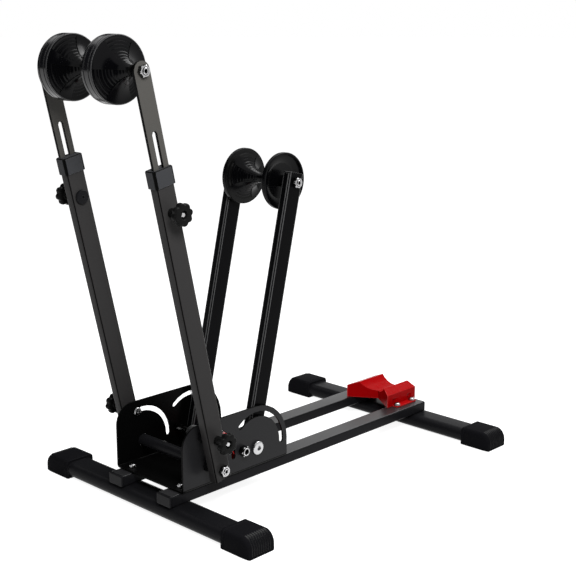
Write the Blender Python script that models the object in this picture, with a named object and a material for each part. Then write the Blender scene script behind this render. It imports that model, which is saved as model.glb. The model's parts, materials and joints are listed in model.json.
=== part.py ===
"""Parking stand that grips a bicycle wheel between two pairs of rollers.

Units are metres. +Z is up, +X points to the end where the wheel rolls in, +Y is the
left side. The origin lies on the floor under the middle of the standing stand.

A floor frame of two cross tubes and two rails carries a U bracket. Two tall arms tilt
in the bracket and hold rollers on extension bars. Two short arms tilt behind them and
hold smaller rollers. The wheel rolls in over a grooved pad on the rails and rests on a
second one in the bracket.
"""

import math

import bmesh
import bpy
from mathutils import Vector

# Clearances
FIT = 0.0003                    # between two pieces that touch, and round a rod in its hole
CUT_OVERRUN = 0.001             # how far a cutter runs past the surface that it cuts
LEFT, RIGHT = 1, -1
SIDES = (("left", LEFT), ("right", RIGHT))

# Cross tubes and their foot caps
STAND_WIDTH = 0.420
CROSS_SPACING = 0.500
CROSS_TUBE_DEPTH = 0.043
CROSS_TUBE_HEIGHT = 0.021
CROSS_TUBE_WALL = 0.0016
CAP_LENGTH = 0.051
CAP_SIDE_WALL = 0.0015
CAP_BOTTOM_WALL = 0.0012
CAP_TOP_WALL = 0.0042
CAP_END_WALL = 0.005
CAP_TOP_ROUND = 0.006
CAP_BOTTOM_ROUND = 0.002
CAP_END_ROUND = 0.013           # from its top down into its end
CAP_END_DRAW = 0.15             # of that round, by which the sides come in

# Rails and their end plugs
RAIL_SPREAD = 0.0995            # between the two rails' middle lines
RAIL_WIDTH = 0.028
RAIL_HEIGHT = 0.0152
RAIL_WALL = 0.0016
RAIL_ROUND = 0.002
RAIL_FRONT_REACH = 0.018        # past the front cross tube's middle
RAIL_REAR_REACH = 0.009         # past the rear cross tube's middle
PLUG_FLANGE = 0.003
PLUG_DEPTH = 0.0065
PLUG_CHAMFER = 0.001

# U bracket
BRACKET_WIDTH = 0.137
BRACKET_HEIGHT = 0.087
BRACKET_FRONT = -0.003          # front edge, from the front cross tube's middle
BRACKET_FRONT_ROUND = 0.028
PLATE = 0.0025
BEND_OUTSIDE = 0.004
PIVOT_RISE = 0.0282             # pivots above the bracket's underside
SPRING_SHAFT_RISE = 0.0315
TALL_PIVOT_X = 0.0415
SPRING_SHAFT_X = 0.1025
SHORT_PIVOT_X = 0.130
SLOT_BOLT_RADIUS = 0.045        # tall arm's slot bolt, from the tall pivot
SLOT_BOLT_SLOT = (-2.0, 103.0)  # degrees up from +X
WING_SCREW_RADIUS = 0.0475      # wing screw, from the short pivot
WING_SCREW_SLOT = (-2.0, 130.0)
SLOT_PLAY = 0.0004              # each side of the bolt in its arc slot

# Small bolts down through the rails
RAIL_BOLT_RADIUS = 0.003
RAIL_BOLT_HEAD_RADIUS = 0.0055
RAIL_BOLT_HEAD_HEIGHT = 0.0036
RAIL_BOLT_HEAD_RIM = 0.0016
RAIL_BOLT_HEAD_TOP = 0.0032      # radius of the flat top
RAIL_BOLT_PAST_WALL = 0.003     # how far a bolt runs on past the last wall
BRACKET_BOLTS_X = (0.0085, 0.093)
PAD_BOLT_FRONT_INSET = 0.0385   # both from the rear cross tube's middle
PAD_BOLT_REAR_INSET = 0.002
PAD_BOLTS_X = (CROSS_SPACING - PAD_BOLT_FRONT_INSET, CROSS_SPACING - PAD_BOLT_REAR_INSET)
PAD_BOLT_Y = 0.0465

# Grooved pads
PAD_HALF_WIDTH = 0.042
PAD_LENGTH = 0.070
PAD_SIDE_HEIGHT = 0.0197
PAD_RIDGE_HEIGHT = 0.0262
PAD_RIDGE_Y = 0.0255
PAD_GROOVE_DEPTH = 0.0132
PAD_NOTCH = 0.028
PAD_ARCH = 0.012
PAD_REAR_X = CROSS_SPACING + 0.013
PAD_TAB = 0.0018
PAD_TAB_MARGIN = 0.0058         # tab past the bolts' middles
WHEEL_PAD_SIDE_HEIGHT = 0.0085
WHEEL_PAD_RIDGE_HEIGHT = 0.014
WHEEL_PAD_GROOVE_DEPTH = 0.0085
PAD_SCREW_DEPTH = 0.0038        # wheel pad's screw, up into the pad
PAD_POCKET_RADIUS = 0.0075
PAD_POCKET_TOP = 0.0118

# Tall arms
TALL_LEAN = math.radians(12.48)     # from upright, towards -X
SPACER_LENGTH = 0.012
SPACER_RADIUS = 0.009
TALL_ARM_THICKNESS = 0.0147
TALL_ARM_WIDTH = 0.0273
ARM_WALL = 0.0015
ARM_ROUND = 0.003
ARM_INNER_ROUND = 0.0005
TALL_ARM_BELOW = 0.013
SLEEVE_TOP = 0.410
SLEEVE_LENGTH = 0.022
SLEEVE_WALL = 0.0013
SLEEVE_END_WALL = 0.003
SLEEVE_CHAMFER = 0.001
HEIGHT_BOLT_BELOW_TOP = 0.055       # along the arm, from the sleeve's top
PIVOT_TUBE_RADIUS = 0.0085

# Extension bars
BAR_THICKNESS = 0.004
BAR_SLOT_PLAY = 0.0005
BAR_SLOT_BELOW_BOLT = 0.060         # slot's end centres, from the height bolt
BAR_SLOT_ABOVE_BOLT = 0.0961
BAR_FOOT_BELOW_SLOT = 0.012
AXLE_ABOVE_SLEEVE = 0.1152

# Rods, bolts, nuts and knobs
ROD_RADIUS = 0.004
ROD_NUT_FLATS = 0.013
ROD_NUT_HEIGHT = 0.0062
ROD_HEAD_HEIGHT = 0.005
ROD_PAST_NUT = 0.001
SPRING_SHAFT_RADIUS = 0.0055
SPRING_SHAFT_NUT_FLATS = 0.013
SPRING_SHAFT_NUT_HEIGHT = 0.008
M6_RADIUS = 0.003
SLOT_BOLT_HEAD_RADIUS = 0.006
SLOT_BOLT_HEAD_HEIGHT = 0.0031
HEIGHT_BOLT_HEAD_RADIUS = 0.0095
HEIGHT_BOLT_HEAD_HEIGHT = 0.0035
BOLT_HEAD_CHAMFER = 0.0014
KNOB_BOSS_RADIUS = 0.006
KNOB_BOSS_LENGTH = 0.0145
KNOB_RADIUS = 0.0146
KNOB_FACE_RADIUS = 0.0122
KNOB_LOBES = 8
KNOB_LOBE_DEPTH = 0.002
KNOB_THICKNESS = 0.009
KNOB_ROUND = 0.0032             # thickness of the sloping rim on each face
KNOB_RECESS_RADIUS = 0.005
KNOB_RECESS_DEPTH = 0.004
SHOULDER_RADIUS = 0.005
SHOULDER_HEAD_RADIUS = 0.0095
SHOULDER_HEAD_HEIGHT = 0.0045

# Tall rollers
TALL_ROLLER_RADIUS = 0.0405
ROLLER_NECK_RADIUS = 0.0065
TALL_RIM_INNER_Y = 0.0345
TALL_RIM_WIDTH = 0.018
TALL_NECK_Y = 0.082                 # where the outer flare ends
RIM_CHAMFER = 0.001

# Short arms
SHORT_LEAN = math.radians(13.13)    # from upright, towards +X
SHORT_ARM_THICKNESS = 0.0133
SHORT_ARM_WIDTH = 0.0273
SHORT_ARM_PLATE_GAP = 0.004
SHORT_ARM_OVERHANG = 0.0135
SHORT_ARM_END_ROUND = 0.006
SHORT_ARM_END_WALL = 0.002
SHORT_AXLE_REACH = 0.3633
WELD_NUT_HEIGHT = 0.006

# Short rollers
SHORT_ROLLER_RADIUS = 0.039
SHORT_RIM_INNER_Y = 0.035
SHORT_RIM_WIDTH = 0.0065
SHORT_ROLLER_SHELL = 0.0025
ROLLER_HUB_RADIUS = 0.008

# Return spring
SPRING_WIRE_RADIUS = 0.0017
SPRING_COIL_RADIUS = 0.0093         # to the wire's middle
SPRING_PITCH = 0.004
SPRING_CURLS = 18
SPRING_POINTS_PER_CURL = 8

# Wing screw and fold hook
WING_HUB_RADIUS = 0.0055
WING_HUB_TOP_RADIUS = 0.0041
WING_HUB_HEIGHT = 0.007
WING_SPAN = 0.022
WING_TOP_SPAN = 0.0188
WING_ROOT = 0.0066                  # width where the two wings meet the hub
WING_FOOT = 0.0017                  # heights above the hub's seat
WING_SADDLE = 0.0056
WING_ELBOW = 0.0067
WING_TIP = 0.0112
WING_THICKNESS = 0.0024
HOOK_ROD_RADIUS = 0.0021
HOOK_EYE_RADIUS = 0.0055
HOOK_CROSS_REACH = 0.079            # where the hook crosses the arm
HOOK_OUTER_Y = 0.071
HOOK_TIP_DROP = 0.012

# Facets
ROD_SIDES = 12
HOOK_SIDES = 8
HEX_SIDES = 12
POCKET_SIDES = 20
ARCH_SIDES = 60
ROLLER_SIDES = 24
KNOB_SIDES = KNOB_LOBES * 3
FLARE_STEPS = 5
CORNER_STEPS = 3                # small rounds at corners
CAP_END_STEPS = 8
ROUND_STEPS = 8                 # broad rounds and half circles
SLOT_DEGREES = 12               # between points along an arc slot

# Heights and places worked out from the sizes above
TUBE_Z = CAP_BOTTOM_WALL + FIT + CROSS_TUBE_HEIGHT / 2
CAP_HEIGHT = CAP_BOTTOM_WALL + CROSS_TUBE_HEIGHT + 2 * FIT + CAP_TOP_WALL
CAP_DEPTH = CROSS_TUBE_DEPTH + 2 * (FIT + CAP_SIDE_WALL)
RAIL_BOTTOM = TUBE_Z + CROSS_TUBE_HEIGHT / 2 + FIT
RAIL_TOP = RAIL_BOTTOM + RAIL_HEIGHT
BRACKET_BOTTOM = RAIL_TOP + FIT
BRACKET_TOP = BRACKET_BOTTOM + BRACKET_HEIGHT
BRACKET_FLOOR = BRACKET_BOTTOM + PLATE
PIVOT_Z = BRACKET_BOTTOM + PIVOT_RISE
SPRING_SHAFT_Z = BRACKET_BOTTOM + SPRING_SHAFT_RISE
BRACKET_REAR_ROUND = BRACKET_TOP - PIVOT_Z
BRACKET_REAR = SHORT_PIVOT_X + BRACKET_REAR_ROUND
PLATE_OUTER_Y = BRACKET_WIDTH / 2
PLATE_INNER_Y = PLATE_OUTER_Y - PLATE
TALL_ARM_INNER_Y = PLATE_OUTER_Y + SPACER_LENGTH + 2 * FIT
TALL_ARM_OUTER_Y = TALL_ARM_INNER_Y + TALL_ARM_THICKNESS
TALL_ARM_TOP = SLEEVE_TOP - SLEEVE_END_WALL - FIT
HEIGHT_BOLT_REACH = SLEEVE_TOP - HEIGHT_BOLT_BELOW_TOP    # from the tall pivot, along the arm
BAR_SLOT_LOW = HEIGHT_BOLT_REACH - BAR_SLOT_BELOW_BOLT
BAR_SLOT_HIGH = HEIGHT_BOLT_REACH + BAR_SLOT_ABOVE_BOLT
BAR_FOOT = BAR_SLOT_LOW - BAR_FOOT_BELOW_SLOT
TALL_AXLE_REACH = SLEEVE_TOP + AXLE_ABOVE_SLEEVE
BAR_OUTER_Y = TALL_ARM_OUTER_Y - ARM_WALL - FIT
BAR_INNER_Y = BAR_OUTER_Y - BAR_THICKNESS
BAR_WIDTH = TALL_ARM_WIDTH - 2 * (ARM_WALL + FIT)
SHORT_ARM_OUTER_Y = PLATE_INNER_Y - SHORT_ARM_PLATE_GAP
SHORT_ARM_INNER_Y = SHORT_ARM_OUTER_Y - SHORT_ARM_THICKNESS
WHEEL_PAD_FRONT = SPRING_SHAFT_X + SPRING_COIL_RADIUS + SPRING_WIRE_RADIUS + FIT
WHEEL_PAD_REAR = WHEEL_PAD_FRONT + PAD_LENGTH
PAD_SCREW_X = (WHEEL_PAD_FRONT + PAD_ARCH + WHEEL_PAD_REAR - PAD_NOTCH) / 2
TALL_AXLE_X = TALL_PIVOT_X - TALL_AXLE_REACH * math.sin(TALL_LEAN)
FRONT_REACH = min(TALL_AXLE_X - TALL_ROLLER_RADIUS, -CAP_DEPTH / 2)
REAR_REACH = CROSS_SPACING + CAP_DEPTH / 2
MIDDLE_X = (FRONT_REACH + REAR_REACH) / 2


def clear_scene():
    """Remove the objects that a new file opens with."""
    for item in list(bpy.data.objects):
        bpy.data.objects.remove(item, do_unlink=True)


def make_material(name, colour, roughness, metallic):
    """Return a plain surface of one colour."""
    material = bpy.data.materials.new(name)
    material.use_nodes = True
    shader = material.node_tree.nodes["Principled BSDF"]
    shader.inputs["Base Color"].default_value = (*colour, 1.0)
    shader.inputs["Roughness"].default_value = roughness
    shader.inputs["Metallic"].default_value = metallic
    return material


def powder_black(name):
    return make_material(name, (0.022, 0.022, 0.024), 0.42, 0.0)


def plastic_black(name):
    return make_material(name, (0.014, 0.014, 0.015), 0.48, 0.0)


def zinc(name):
    return make_material(name, (0.75, 0.75, 0.77), 0.28, 1.0)


def pad_red(name):
    return make_material(name, (0.55, 0.006, 0.012), 0.35, 0.0)


def spring_black(name):
    return make_material(name, (0.018, 0.018, 0.02), 0.32, 0.3)


def make_empty(name, location, tilt=0.0, parent=None):
    """Return an empty that carries pieces; tilt turns it about Y, from +Z towards +X."""
    empty = bpy.data.objects.new(name, None)
    bpy.context.scene.collection.objects.link(empty)
    empty.parent = parent
    empty.location = location
    empty.rotation_euler = (0.0, tilt, 0.0)
    return empty


def make_piece(name, mesh_maker, finish, parent, location=(0.0, 0.0, 0.0)):
    """Turn a filled bmesh into a named object with its own finish."""
    mesh = bpy.data.meshes.new(name)
    bmesh.ops.recalc_face_normals(mesh_maker, faces=mesh_maker.faces)
    mesh_maker.to_mesh(mesh)
    mesh_maker.free()
    mesh.shade_smooth()
    mesh.set_sharp_from_angle(angle=math.radians(35))
    piece = bpy.data.objects.new(name, mesh)
    bpy.context.scene.collection.objects.link(piece)
    piece.parent = parent
    piece.location = location
    mesh.materials.append(finish(name))
    return piece


def carve(piece, label, cutter_maker, operation="DIFFERENCE"):
    """Cut a piece by, or join it with, the shape in a bmesh that shares its parent."""
    name = f"{piece.name}_{label}"
    cutter = make_piece(name, cutter_maker, plastic_black, piece.parent, piece.location)
    cutter.rotation_euler = piece.rotation_euler
    cutter.hide_render = True
    cutter.display_type = "WIRE"
    step = piece.modifiers.new(label, "BOOLEAN")
    step.operation = operation
    step.object = cutter


def point_on(axis, along, first, second):
    """Return a point from its place along an axis and its two other coordinates."""
    if axis == "X":
        return Vector((along, first, second))
    if axis == "Y":
        return Vector((first, along, second))
    return Vector((first, second, along))


def arc(centre, radius, start, end, steps):
    """Return points along an arc, both ends included; angles in degrees."""
    points = []
    for step in range(steps + 1):
        angle = math.radians(start + (end - start) * step / steps)
        points.append((centre[0] + radius * math.cos(angle), centre[1] + radius * math.sin(angle)))
    return points


def circle(centre, radius, sides=ROD_SIDES):
    """Return the corners of a circle as an outline."""
    return arc(centre, radius, 0.0, 360.0, sides)[:-1]


def box_outline(low, high, low_round, high_round, steps=CORNER_STEPS):
    """Return a rectangle whose two lower and two upper corners have their own rounds."""
    outline = arc((low[0] + low_round, low[1] + low_round), low_round, 180, 270, steps)
    outline += arc((high[0] - low_round, low[1] + low_round), low_round, 270, 360, steps)
    outline += arc((high[0] - high_round, high[1] - high_round), high_round, 0, 90, steps)
    outline += arc((low[0] + high_round, high[1] - high_round), high_round, 90, 180, steps)
    return outline


def centred_box(width, height, corner, centre=(0.0, 0.0), steps=CORNER_STEPS):
    """Return a rounded rectangle about a centre."""
    low = (centre[0] - width / 2, centre[1] - height / 2)
    high = (centre[0] + width / 2, centre[1] + height / 2)
    return box_outline(low, high, corner, corner, steps)


def oval(width, height, centre, steps=ROUND_STEPS):
    """Return a flat oval: two half circles joined by straight sides."""
    half = height / 2
    run = width / 2 - half
    right_end = arc((centre[0] + run, centre[1]), half, -90, 90, steps)
    left_end = arc((centre[0] - run, centre[1]), half, 90, 270, steps)
    return right_end + left_end


def arc_slot(centre, radius, half_width, span):
    """Return the outline of a slot that follows an arc."""
    start, end = span
    outer_steps = round((end - start) / SLOT_DEGREES)
    slot = arc(centre, radius + half_width, start, end, outer_steps)
    tip = arc(centre, radius, end, end, 1)[0]
    slot += arc(tip, half_width, end, end + 180, CORNER_STEPS)[1:-1]
    slot += arc(centre, radius - half_width, end, start, outer_steps)
    tail = arc(centre, radius, start, start, 1)[0]
    slot += arc(tail, half_width, start + 180, start + 360, CORNER_STEPS)[1:-1]
    return slot


def add_prism(maker, outline, axis, low, high, holes=()):
    """Add a straight solid: the outline, less its holes, from low to high along an axis."""
    edges = []
    for loop in (outline, *holes):
        corners = [maker.verts.new(point_on(axis, low, *point)) for point in loop]
        for index, corner in enumerate(corners):
            edges.append(maker.edges.new((corners[index - 1], corner)))
    filled = bmesh.ops.triangle_fill(maker, use_beauty=True, edges=edges)
    floor = [item for item in filled["geom"] if isinstance(item, bmesh.types.BMFace)]
    risen = bmesh.ops.extrude_face_region(maker, geom=floor)
    top = [item for item in risen["geom"] if isinstance(item, bmesh.types.BMVert)]
    bmesh.ops.translate(maker, verts=top, vec=point_on(axis, high - low, 0.0, 0.0))
    return maker


def add_loft(maker, rings, closed=False):
    """Add a skin over rings of equally many points; closed joins the last to the first."""
    loops = [[maker.verts.new(point) for point in ring] for ring in rings]
    pairs = list(zip(loops, loops[1:]))
    if closed:
        pairs.append((loops[-1], loops[0]))
    else:
        maker.faces.new(loops[0])
        maker.faces.new(loops[-1])
    for near, far in pairs:
        for index in range(len(near)):
            maker.faces.new((near[index - 1], near[index], far[index], far[index - 1]))
    return maker


def ring_about(axis, along, radius, sides, centre=(0.0, 0.0), shape=None):
    """Return a ring round an axis; shape scales the radius by the angle."""
    ring = []
    for index in range(sides):
        angle = 2 * math.pi * index / sides
        reach = radius * (shape(angle) if shape else 1.0)
        first = centre[0] + reach * math.cos(angle)
        second = centre[1] + reach * math.sin(angle)
        ring.append(point_on(axis, along, first, second))
    return ring


def hexagon(angle):
    """Scale a circle of half the flats to a hexagon."""
    sector = math.radians(60)
    return 1.0 / math.cos(angle % sector - sector / 2)


def star(angle):
    """Scale a circle to the lobed rim of a knob."""
    dip = KNOB_LOBE_DEPTH / KNOB_RADIUS
    return 1.0 - dip * (0.5 - 0.5 * math.cos(KNOB_LOBES * angle))


def turned(profile, axis="Y", sides=ROD_SIDES, closed=False):
    """Return a solid turned from (along, radius) or (along, radius, shape) steps."""
    rings = []
    for step in profile:
        along, radius = step[:2]
        shape = step[2] if len(step) > 2 else None
        rings.append(ring_about(axis, along, radius, sides, shape=shape))
    return add_loft(bmesh.new(), rings, closed)


def rod_maker(low, high, radius, centre, axis="Y", sides=ROD_SIDES, maker=None):
    """Return, or add to a bmesh, a plain rod between two places along an axis."""
    rings = [ring_about(axis, along, radius, sides, centre) for along in (low, high)]
    return add_loft(maker or bmesh.new(), rings)


def mirrored(profile, side):
    """Return a profile for the left or the right side of the stand."""
    return [(side * step[0], *step[1:]) for step in profile]


def make_nut(name, parent, location, bore, flats, height, side):
    """A hexagon nut that starts at its seat and runs outward along Y."""
    rim = flats / 2
    hole = bore + FIT
    profile = [(0.0, hole), (0.0, rim, hexagon), (height, rim, hexagon), (height, hole)]
    maker = turned(mirrored(profile, side), sides=HEX_SIDES, closed=True)
    make_piece(name, maker, zinc, parent, location)


def make_rod(name, parent, location, radius, seats, flats, nut_height, head_side):
    """A rod across the stand with a hexagon head past one seat and a nut past the other."""
    nut_seat, head_seat = seats
    rim = flats / 2
    profile = [
        (-(nut_seat + nut_height + ROD_PAST_NUT), radius),
        (head_seat, radius),
        (head_seat, rim, hexagon),
        (head_seat + ROD_HEAD_HEIGHT, rim, hexagon),
    ]
    maker = turned(mirrored(profile, head_side), sides=HEX_SIDES)
    make_piece(name, maker, zinc, parent, location)


def make_cross_tube(name, x, bolt_xs, bolt_y, stand):
    """An oval steel tube across the stand, bored for the bolts that hold the rails."""
    half = STAND_WIDTH / 2 - CAP_END_WALL - FIT
    outer = oval(CROSS_TUBE_DEPTH, CROSS_TUBE_HEIGHT, (0.0, TUBE_Z))
    shrink = 2 * CROSS_TUBE_WALL
    inner = oval(CROSS_TUBE_DEPTH - shrink, CROSS_TUBE_HEIGHT - shrink, (0.0, TUBE_Z))
    maker = add_prism(bmesh.new(), outer, "Y", -half, half, [inner])
    tube = make_piece(name, maker, powder_black, stand, (x, 0.0, 0.0))
    drill = bmesh.new()
    for bolt_x in bolt_xs:
        for _, side in SIDES:
            place = (bolt_x - x, side * bolt_y)
            rod_maker(TUBE_Z, RAIL_BOTTOM, RAIL_BOLT_RADIUS + FIT, place, "Z", maker=drill)
    carve(tube, "bolt_holes", drill)


def cap_ring(along, sink):
    """One outline of a foot cap, lowered and drawn in where its outer end rounds over."""
    half = CAP_DEPTH / 2 - sink * CAP_END_DRAW
    top = CAP_HEIGHT - sink
    outline = box_outline((-half, 0.0), (half, top), CAP_BOTTOM_ROUND, CAP_TOP_ROUND)
    return [point_on("Y", along, *point) for point in outline]


def make_foot_cap(name, x, side, stand):
    """A plastic cap over the end of a cross tube, which it lifts off the floor."""
    rings = [cap_ring(0.0, 0.0)]
    for step in range(CAP_END_STEPS + 1):
        angle = math.pi / 2 * step / CAP_END_STEPS
        along = CAP_LENGTH - CAP_END_ROUND * (1 - math.sin(angle))
        rings.append(cap_ring(along, CAP_END_ROUND * (1 - math.cos(angle))))
    inner_end = side * (STAND_WIDTH / 2 - CAP_LENGTH)
    cap = make_piece(name, add_loft(bmesh.new(), rings), plastic_black, stand, (x, inner_end, 0.0))
    cap.rotation_euler = (0.0, 0.0, 0.0 if side == LEFT else math.pi)
    socket = oval(CROSS_TUBE_DEPTH + 2 * FIT, CROSS_TUBE_HEIGHT + 2 * FIT, (0.0, TUBE_Z))
    depth = CAP_LENGTH - CAP_END_WALL
    carve(cap, "socket", add_prism(bmesh.new(), socket, "Y", -CUT_OVERRUN, depth))


def make_rail(name, side, stand):
    """A rectangular tube from the front cross tube to the rear one."""
    low, high = -RAIL_FRONT_REACH, CROSS_SPACING + RAIL_REAR_REACH
    middle = (side * RAIL_SPREAD / 2, RAIL_BOTTOM + RAIL_HEIGHT / 2)
    outer = centred_box(RAIL_WIDTH, RAIL_HEIGHT, RAIL_ROUND, middle)
    shrink = 2 * RAIL_WALL
    inner_round = RAIL_ROUND - RAIL_WALL / 2
    inner = centred_box(RAIL_WIDTH - shrink, RAIL_HEIGHT - shrink, inner_round, middle)
    maker = add_prism(bmesh.new(), outer, "X", low, high, [inner])
    rail = make_piece(name, maker, powder_black, stand)
    drill = bmesh.new()
    bolt_rows = [(x, RAIL_SPREAD / 2) for x in BRACKET_BOLTS_X]
    bolt_rows += [(x, PAD_BOLT_Y) for x in PAD_BOLTS_X]
    for x, y in bolt_rows:
        bottom = RAIL_BOTTOM - CUT_OVERRUN
        if not over_cross_tube(x):
            bottom = RAIL_BOTTOM + RAIL_HEIGHT / 2
        place = (x, side * y)
        top = RAIL_TOP + CUT_OVERRUN
        rod_maker(bottom, top, RAIL_BOLT_RADIUS + FIT, place, "Z", maker=drill)
    carve(rail, "bolt_holes", drill)


def over_cross_tube(x):
    """Say whether a bolt at x goes on into a cross tube."""
    reach = CROSS_TUBE_DEPTH / 2
    return min(abs(x), abs(x - CROSS_SPACING)) < reach


def make_rail_plug(name, x, side, outward, stand):
    """A plastic plug: a stub inside the rail and a flange over its end."""
    shrink = 2 * (RAIL_WALL + FIT)
    inner_round = RAIL_ROUND - RAIL_WALL / 2
    stub = centred_box(RAIL_WIDTH - shrink, RAIL_HEIGHT - shrink, inner_round)
    flange = centred_box(RAIL_WIDTH, RAIL_HEIGHT, RAIL_ROUND)
    trim = 2 * PLUG_CHAMFER
    face = centred_box(RAIL_WIDTH - trim, RAIL_HEIGHT - trim, RAIL_ROUND - PLUG_CHAMFER / 2)
    edge = FIT + PLUG_FLANGE
    steps = [(-PLUG_DEPTH, stub), (FIT, stub), (FIT, flange), (edge - PLUG_CHAMFER, flange)]
    steps.append((edge, face))
    rings = [[point_on("X", outward * along, *p) for p in outline] for along, outline in steps]
    place = (x, side * RAIL_SPREAD / 2, RAIL_BOTTOM + RAIL_HEIGHT / 2)
    make_piece(name, add_loft(bmesh.new(), rings), plastic_black, stand, place)


def bracket_section():
    """The U of the bent plate, across the stand; its tops are cut by the side outline."""
    top = BRACKET_TOP + CUT_OVERRUN
    inside = BEND_OUTSIDE - PLATE
    inner_y = PLATE_INNER_Y - inside
    outer_y = PLATE_OUTER_Y - BEND_OUTSIDE
    inner_z = BRACKET_FLOOR + inside
    outer_z = BRACKET_BOTTOM + BEND_OUTSIDE
    section = [(PLATE_INNER_Y, top)]
    section += arc((inner_y, inner_z), inside, 0, -90, CORNER_STEPS)
    section += arc((-inner_y, inner_z), inside, -90, -180, CORNER_STEPS)
    section += [(-PLATE_INNER_Y, top), (-PLATE_OUTER_Y, top)]
    section += arc((-outer_y, outer_z), BEND_OUTSIDE, 180, 270, CORNER_STEPS)
    section += arc((outer_y, outer_z), BEND_OUTSIDE, 270, 360, CORNER_STEPS)
    section.append((PLATE_OUTER_Y, top))
    return section


def make_bracket(stand):
    """The U bracket, with two arc slots and three pivot holes in each upright."""
    maker = add_prism(
        bmesh.new(), bracket_section(), "X",
        BRACKET_FRONT - CUT_OVERRUN, BRACKET_REAR + CUT_OVERRUN,
    )
    bracket = make_piece("pivot_bracket", maker, powder_black, stand)
    tall, short = (TALL_PIVOT_X, PIVOT_Z), (SHORT_PIVOT_X, PIVOT_Z)
    below = BRACKET_BOTTOM - CUT_OVERRUN
    outline = [(BRACKET_FRONT, below), (BRACKET_REAR, below)]
    outline += arc(short, BRACKET_REAR_ROUND, 0, 90, ROUND_STEPS)
    front_centre = (BRACKET_FRONT + BRACKET_FRONT_ROUND, BRACKET_TOP - BRACKET_FRONT_ROUND)
    outline += arc(front_centre, BRACKET_FRONT_ROUND, 90, 180, ROUND_STEPS)
    holes = [
        circle(tall, PIVOT_TUBE_RADIUS + FIT),
        circle((SPRING_SHAFT_X, SPRING_SHAFT_Z), SPRING_SHAFT_RADIUS + FIT),
        circle(short, SHOULDER_RADIUS + FIT),
        arc_slot(tall, SLOT_BOLT_RADIUS, M6_RADIUS + SLOT_PLAY, SLOT_BOLT_SLOT),
        arc_slot(short, WING_SCREW_RADIUS, M6_RADIUS + SLOT_PLAY, WING_SCREW_SLOT),
    ]
    reach = PLATE_OUTER_Y + CUT_OVERRUN
    side_view = add_prism(bmesh.new(), outline, "Y", -reach, reach, holes)
    carve(bracket, "side_view", side_view, "INTERSECT")
    places = [(x, side * RAIL_SPREAD / 2) for x in BRACKET_BOLTS_X for _, side in SIDES]
    places.append((PAD_SCREW_X, 0.0))
    low, high = BRACKET_BOTTOM - CUT_OVERRUN, BRACKET_FLOOR + CUT_OVERRUN
    drill = bmesh.new()
    for place in places:
        rod_maker(low, high, RAIL_BOLT_RADIUS + FIT, place, "Z", maker=drill)
    carve(bracket, "bolt_holes", drill)


def button_profile(tip):
    """A button head bolt's section, from its tip below the seat up to its head."""
    head = RAIL_BOLT_HEAD_RADIUS
    return [
        (tip, RAIL_BOLT_RADIUS),
        (FIT, RAIL_BOLT_RADIUS),
        (FIT, head),
        (FIT + RAIL_BOLT_HEAD_RIM, head),
        (FIT + RAIL_BOLT_HEAD_HEIGHT, RAIL_BOLT_HEAD_TOP),
    ]


def make_rail_bolt(name, x, y, seat, stand):
    """A button head bolt, down through its seat and the walls below it."""
    last_wall = RAIL_TOP - RAIL_WALL
    if over_cross_tube(x):
        last_wall = TUBE_Z + CROSS_TUBE_HEIGHT / 2 - CROSS_TUBE_WALL
    tip = last_wall - RAIL_BOLT_PAST_WALL - seat
    make_piece(name, turned(button_profile(tip), "Z"), zinc, stand, (x, y, seat))


def pad_section(side_height, ridge_height, groove_depth):
    """A pad's section across its groove, from its base up."""
    half = PAD_RIDGE_Y
    radius = (half ** 2 + groove_depth ** 2) / (2 * groove_depth)
    centre = (0.0, ridge_height - groove_depth + radius)
    swing = math.degrees(math.asin(half / radius))
    section = [(-PAD_HALF_WIDTH, 0.0), (PAD_HALF_WIDTH, 0.0), (PAD_HALF_WIDTH, side_height)]
    section += arc(centre, radius, -90 + swing, -90 - swing, ROUND_STEPS)
    section.append((-PAD_HALF_WIDTH, side_height))
    return section


def make_pad(name, stand, location, side_height, ridge_height, groove_depth):
    """A grooved pad along +X from its notched end; its base is at its origin's height."""
    section = pad_section(side_height, ridge_height, groove_depth)
    maker = add_prism(bmesh.new(), section, "X", 0.0, PAD_LENGTH)
    pad = make_piece(name, maker, pad_red, stand, location)
    wide = PAD_HALF_WIDTH + CUT_OVERRUN
    slope = PAD_NOTCH / PAD_HALF_WIDTH
    notch = [
        (-CUT_OVERRUN, wide),
        (-CUT_OVERRUN, -wide),
        (-CUT_OVERRUN * slope, -wide),
        (PAD_NOTCH, 0.0),
        (-CUT_OVERRUN * slope, wide),
    ]
    top = ridge_height + CUT_OVERRUN
    carve(pad, "notch", add_prism(bmesh.new(), notch, "Z", -CUT_OVERRUN, top))
    return pad


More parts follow.
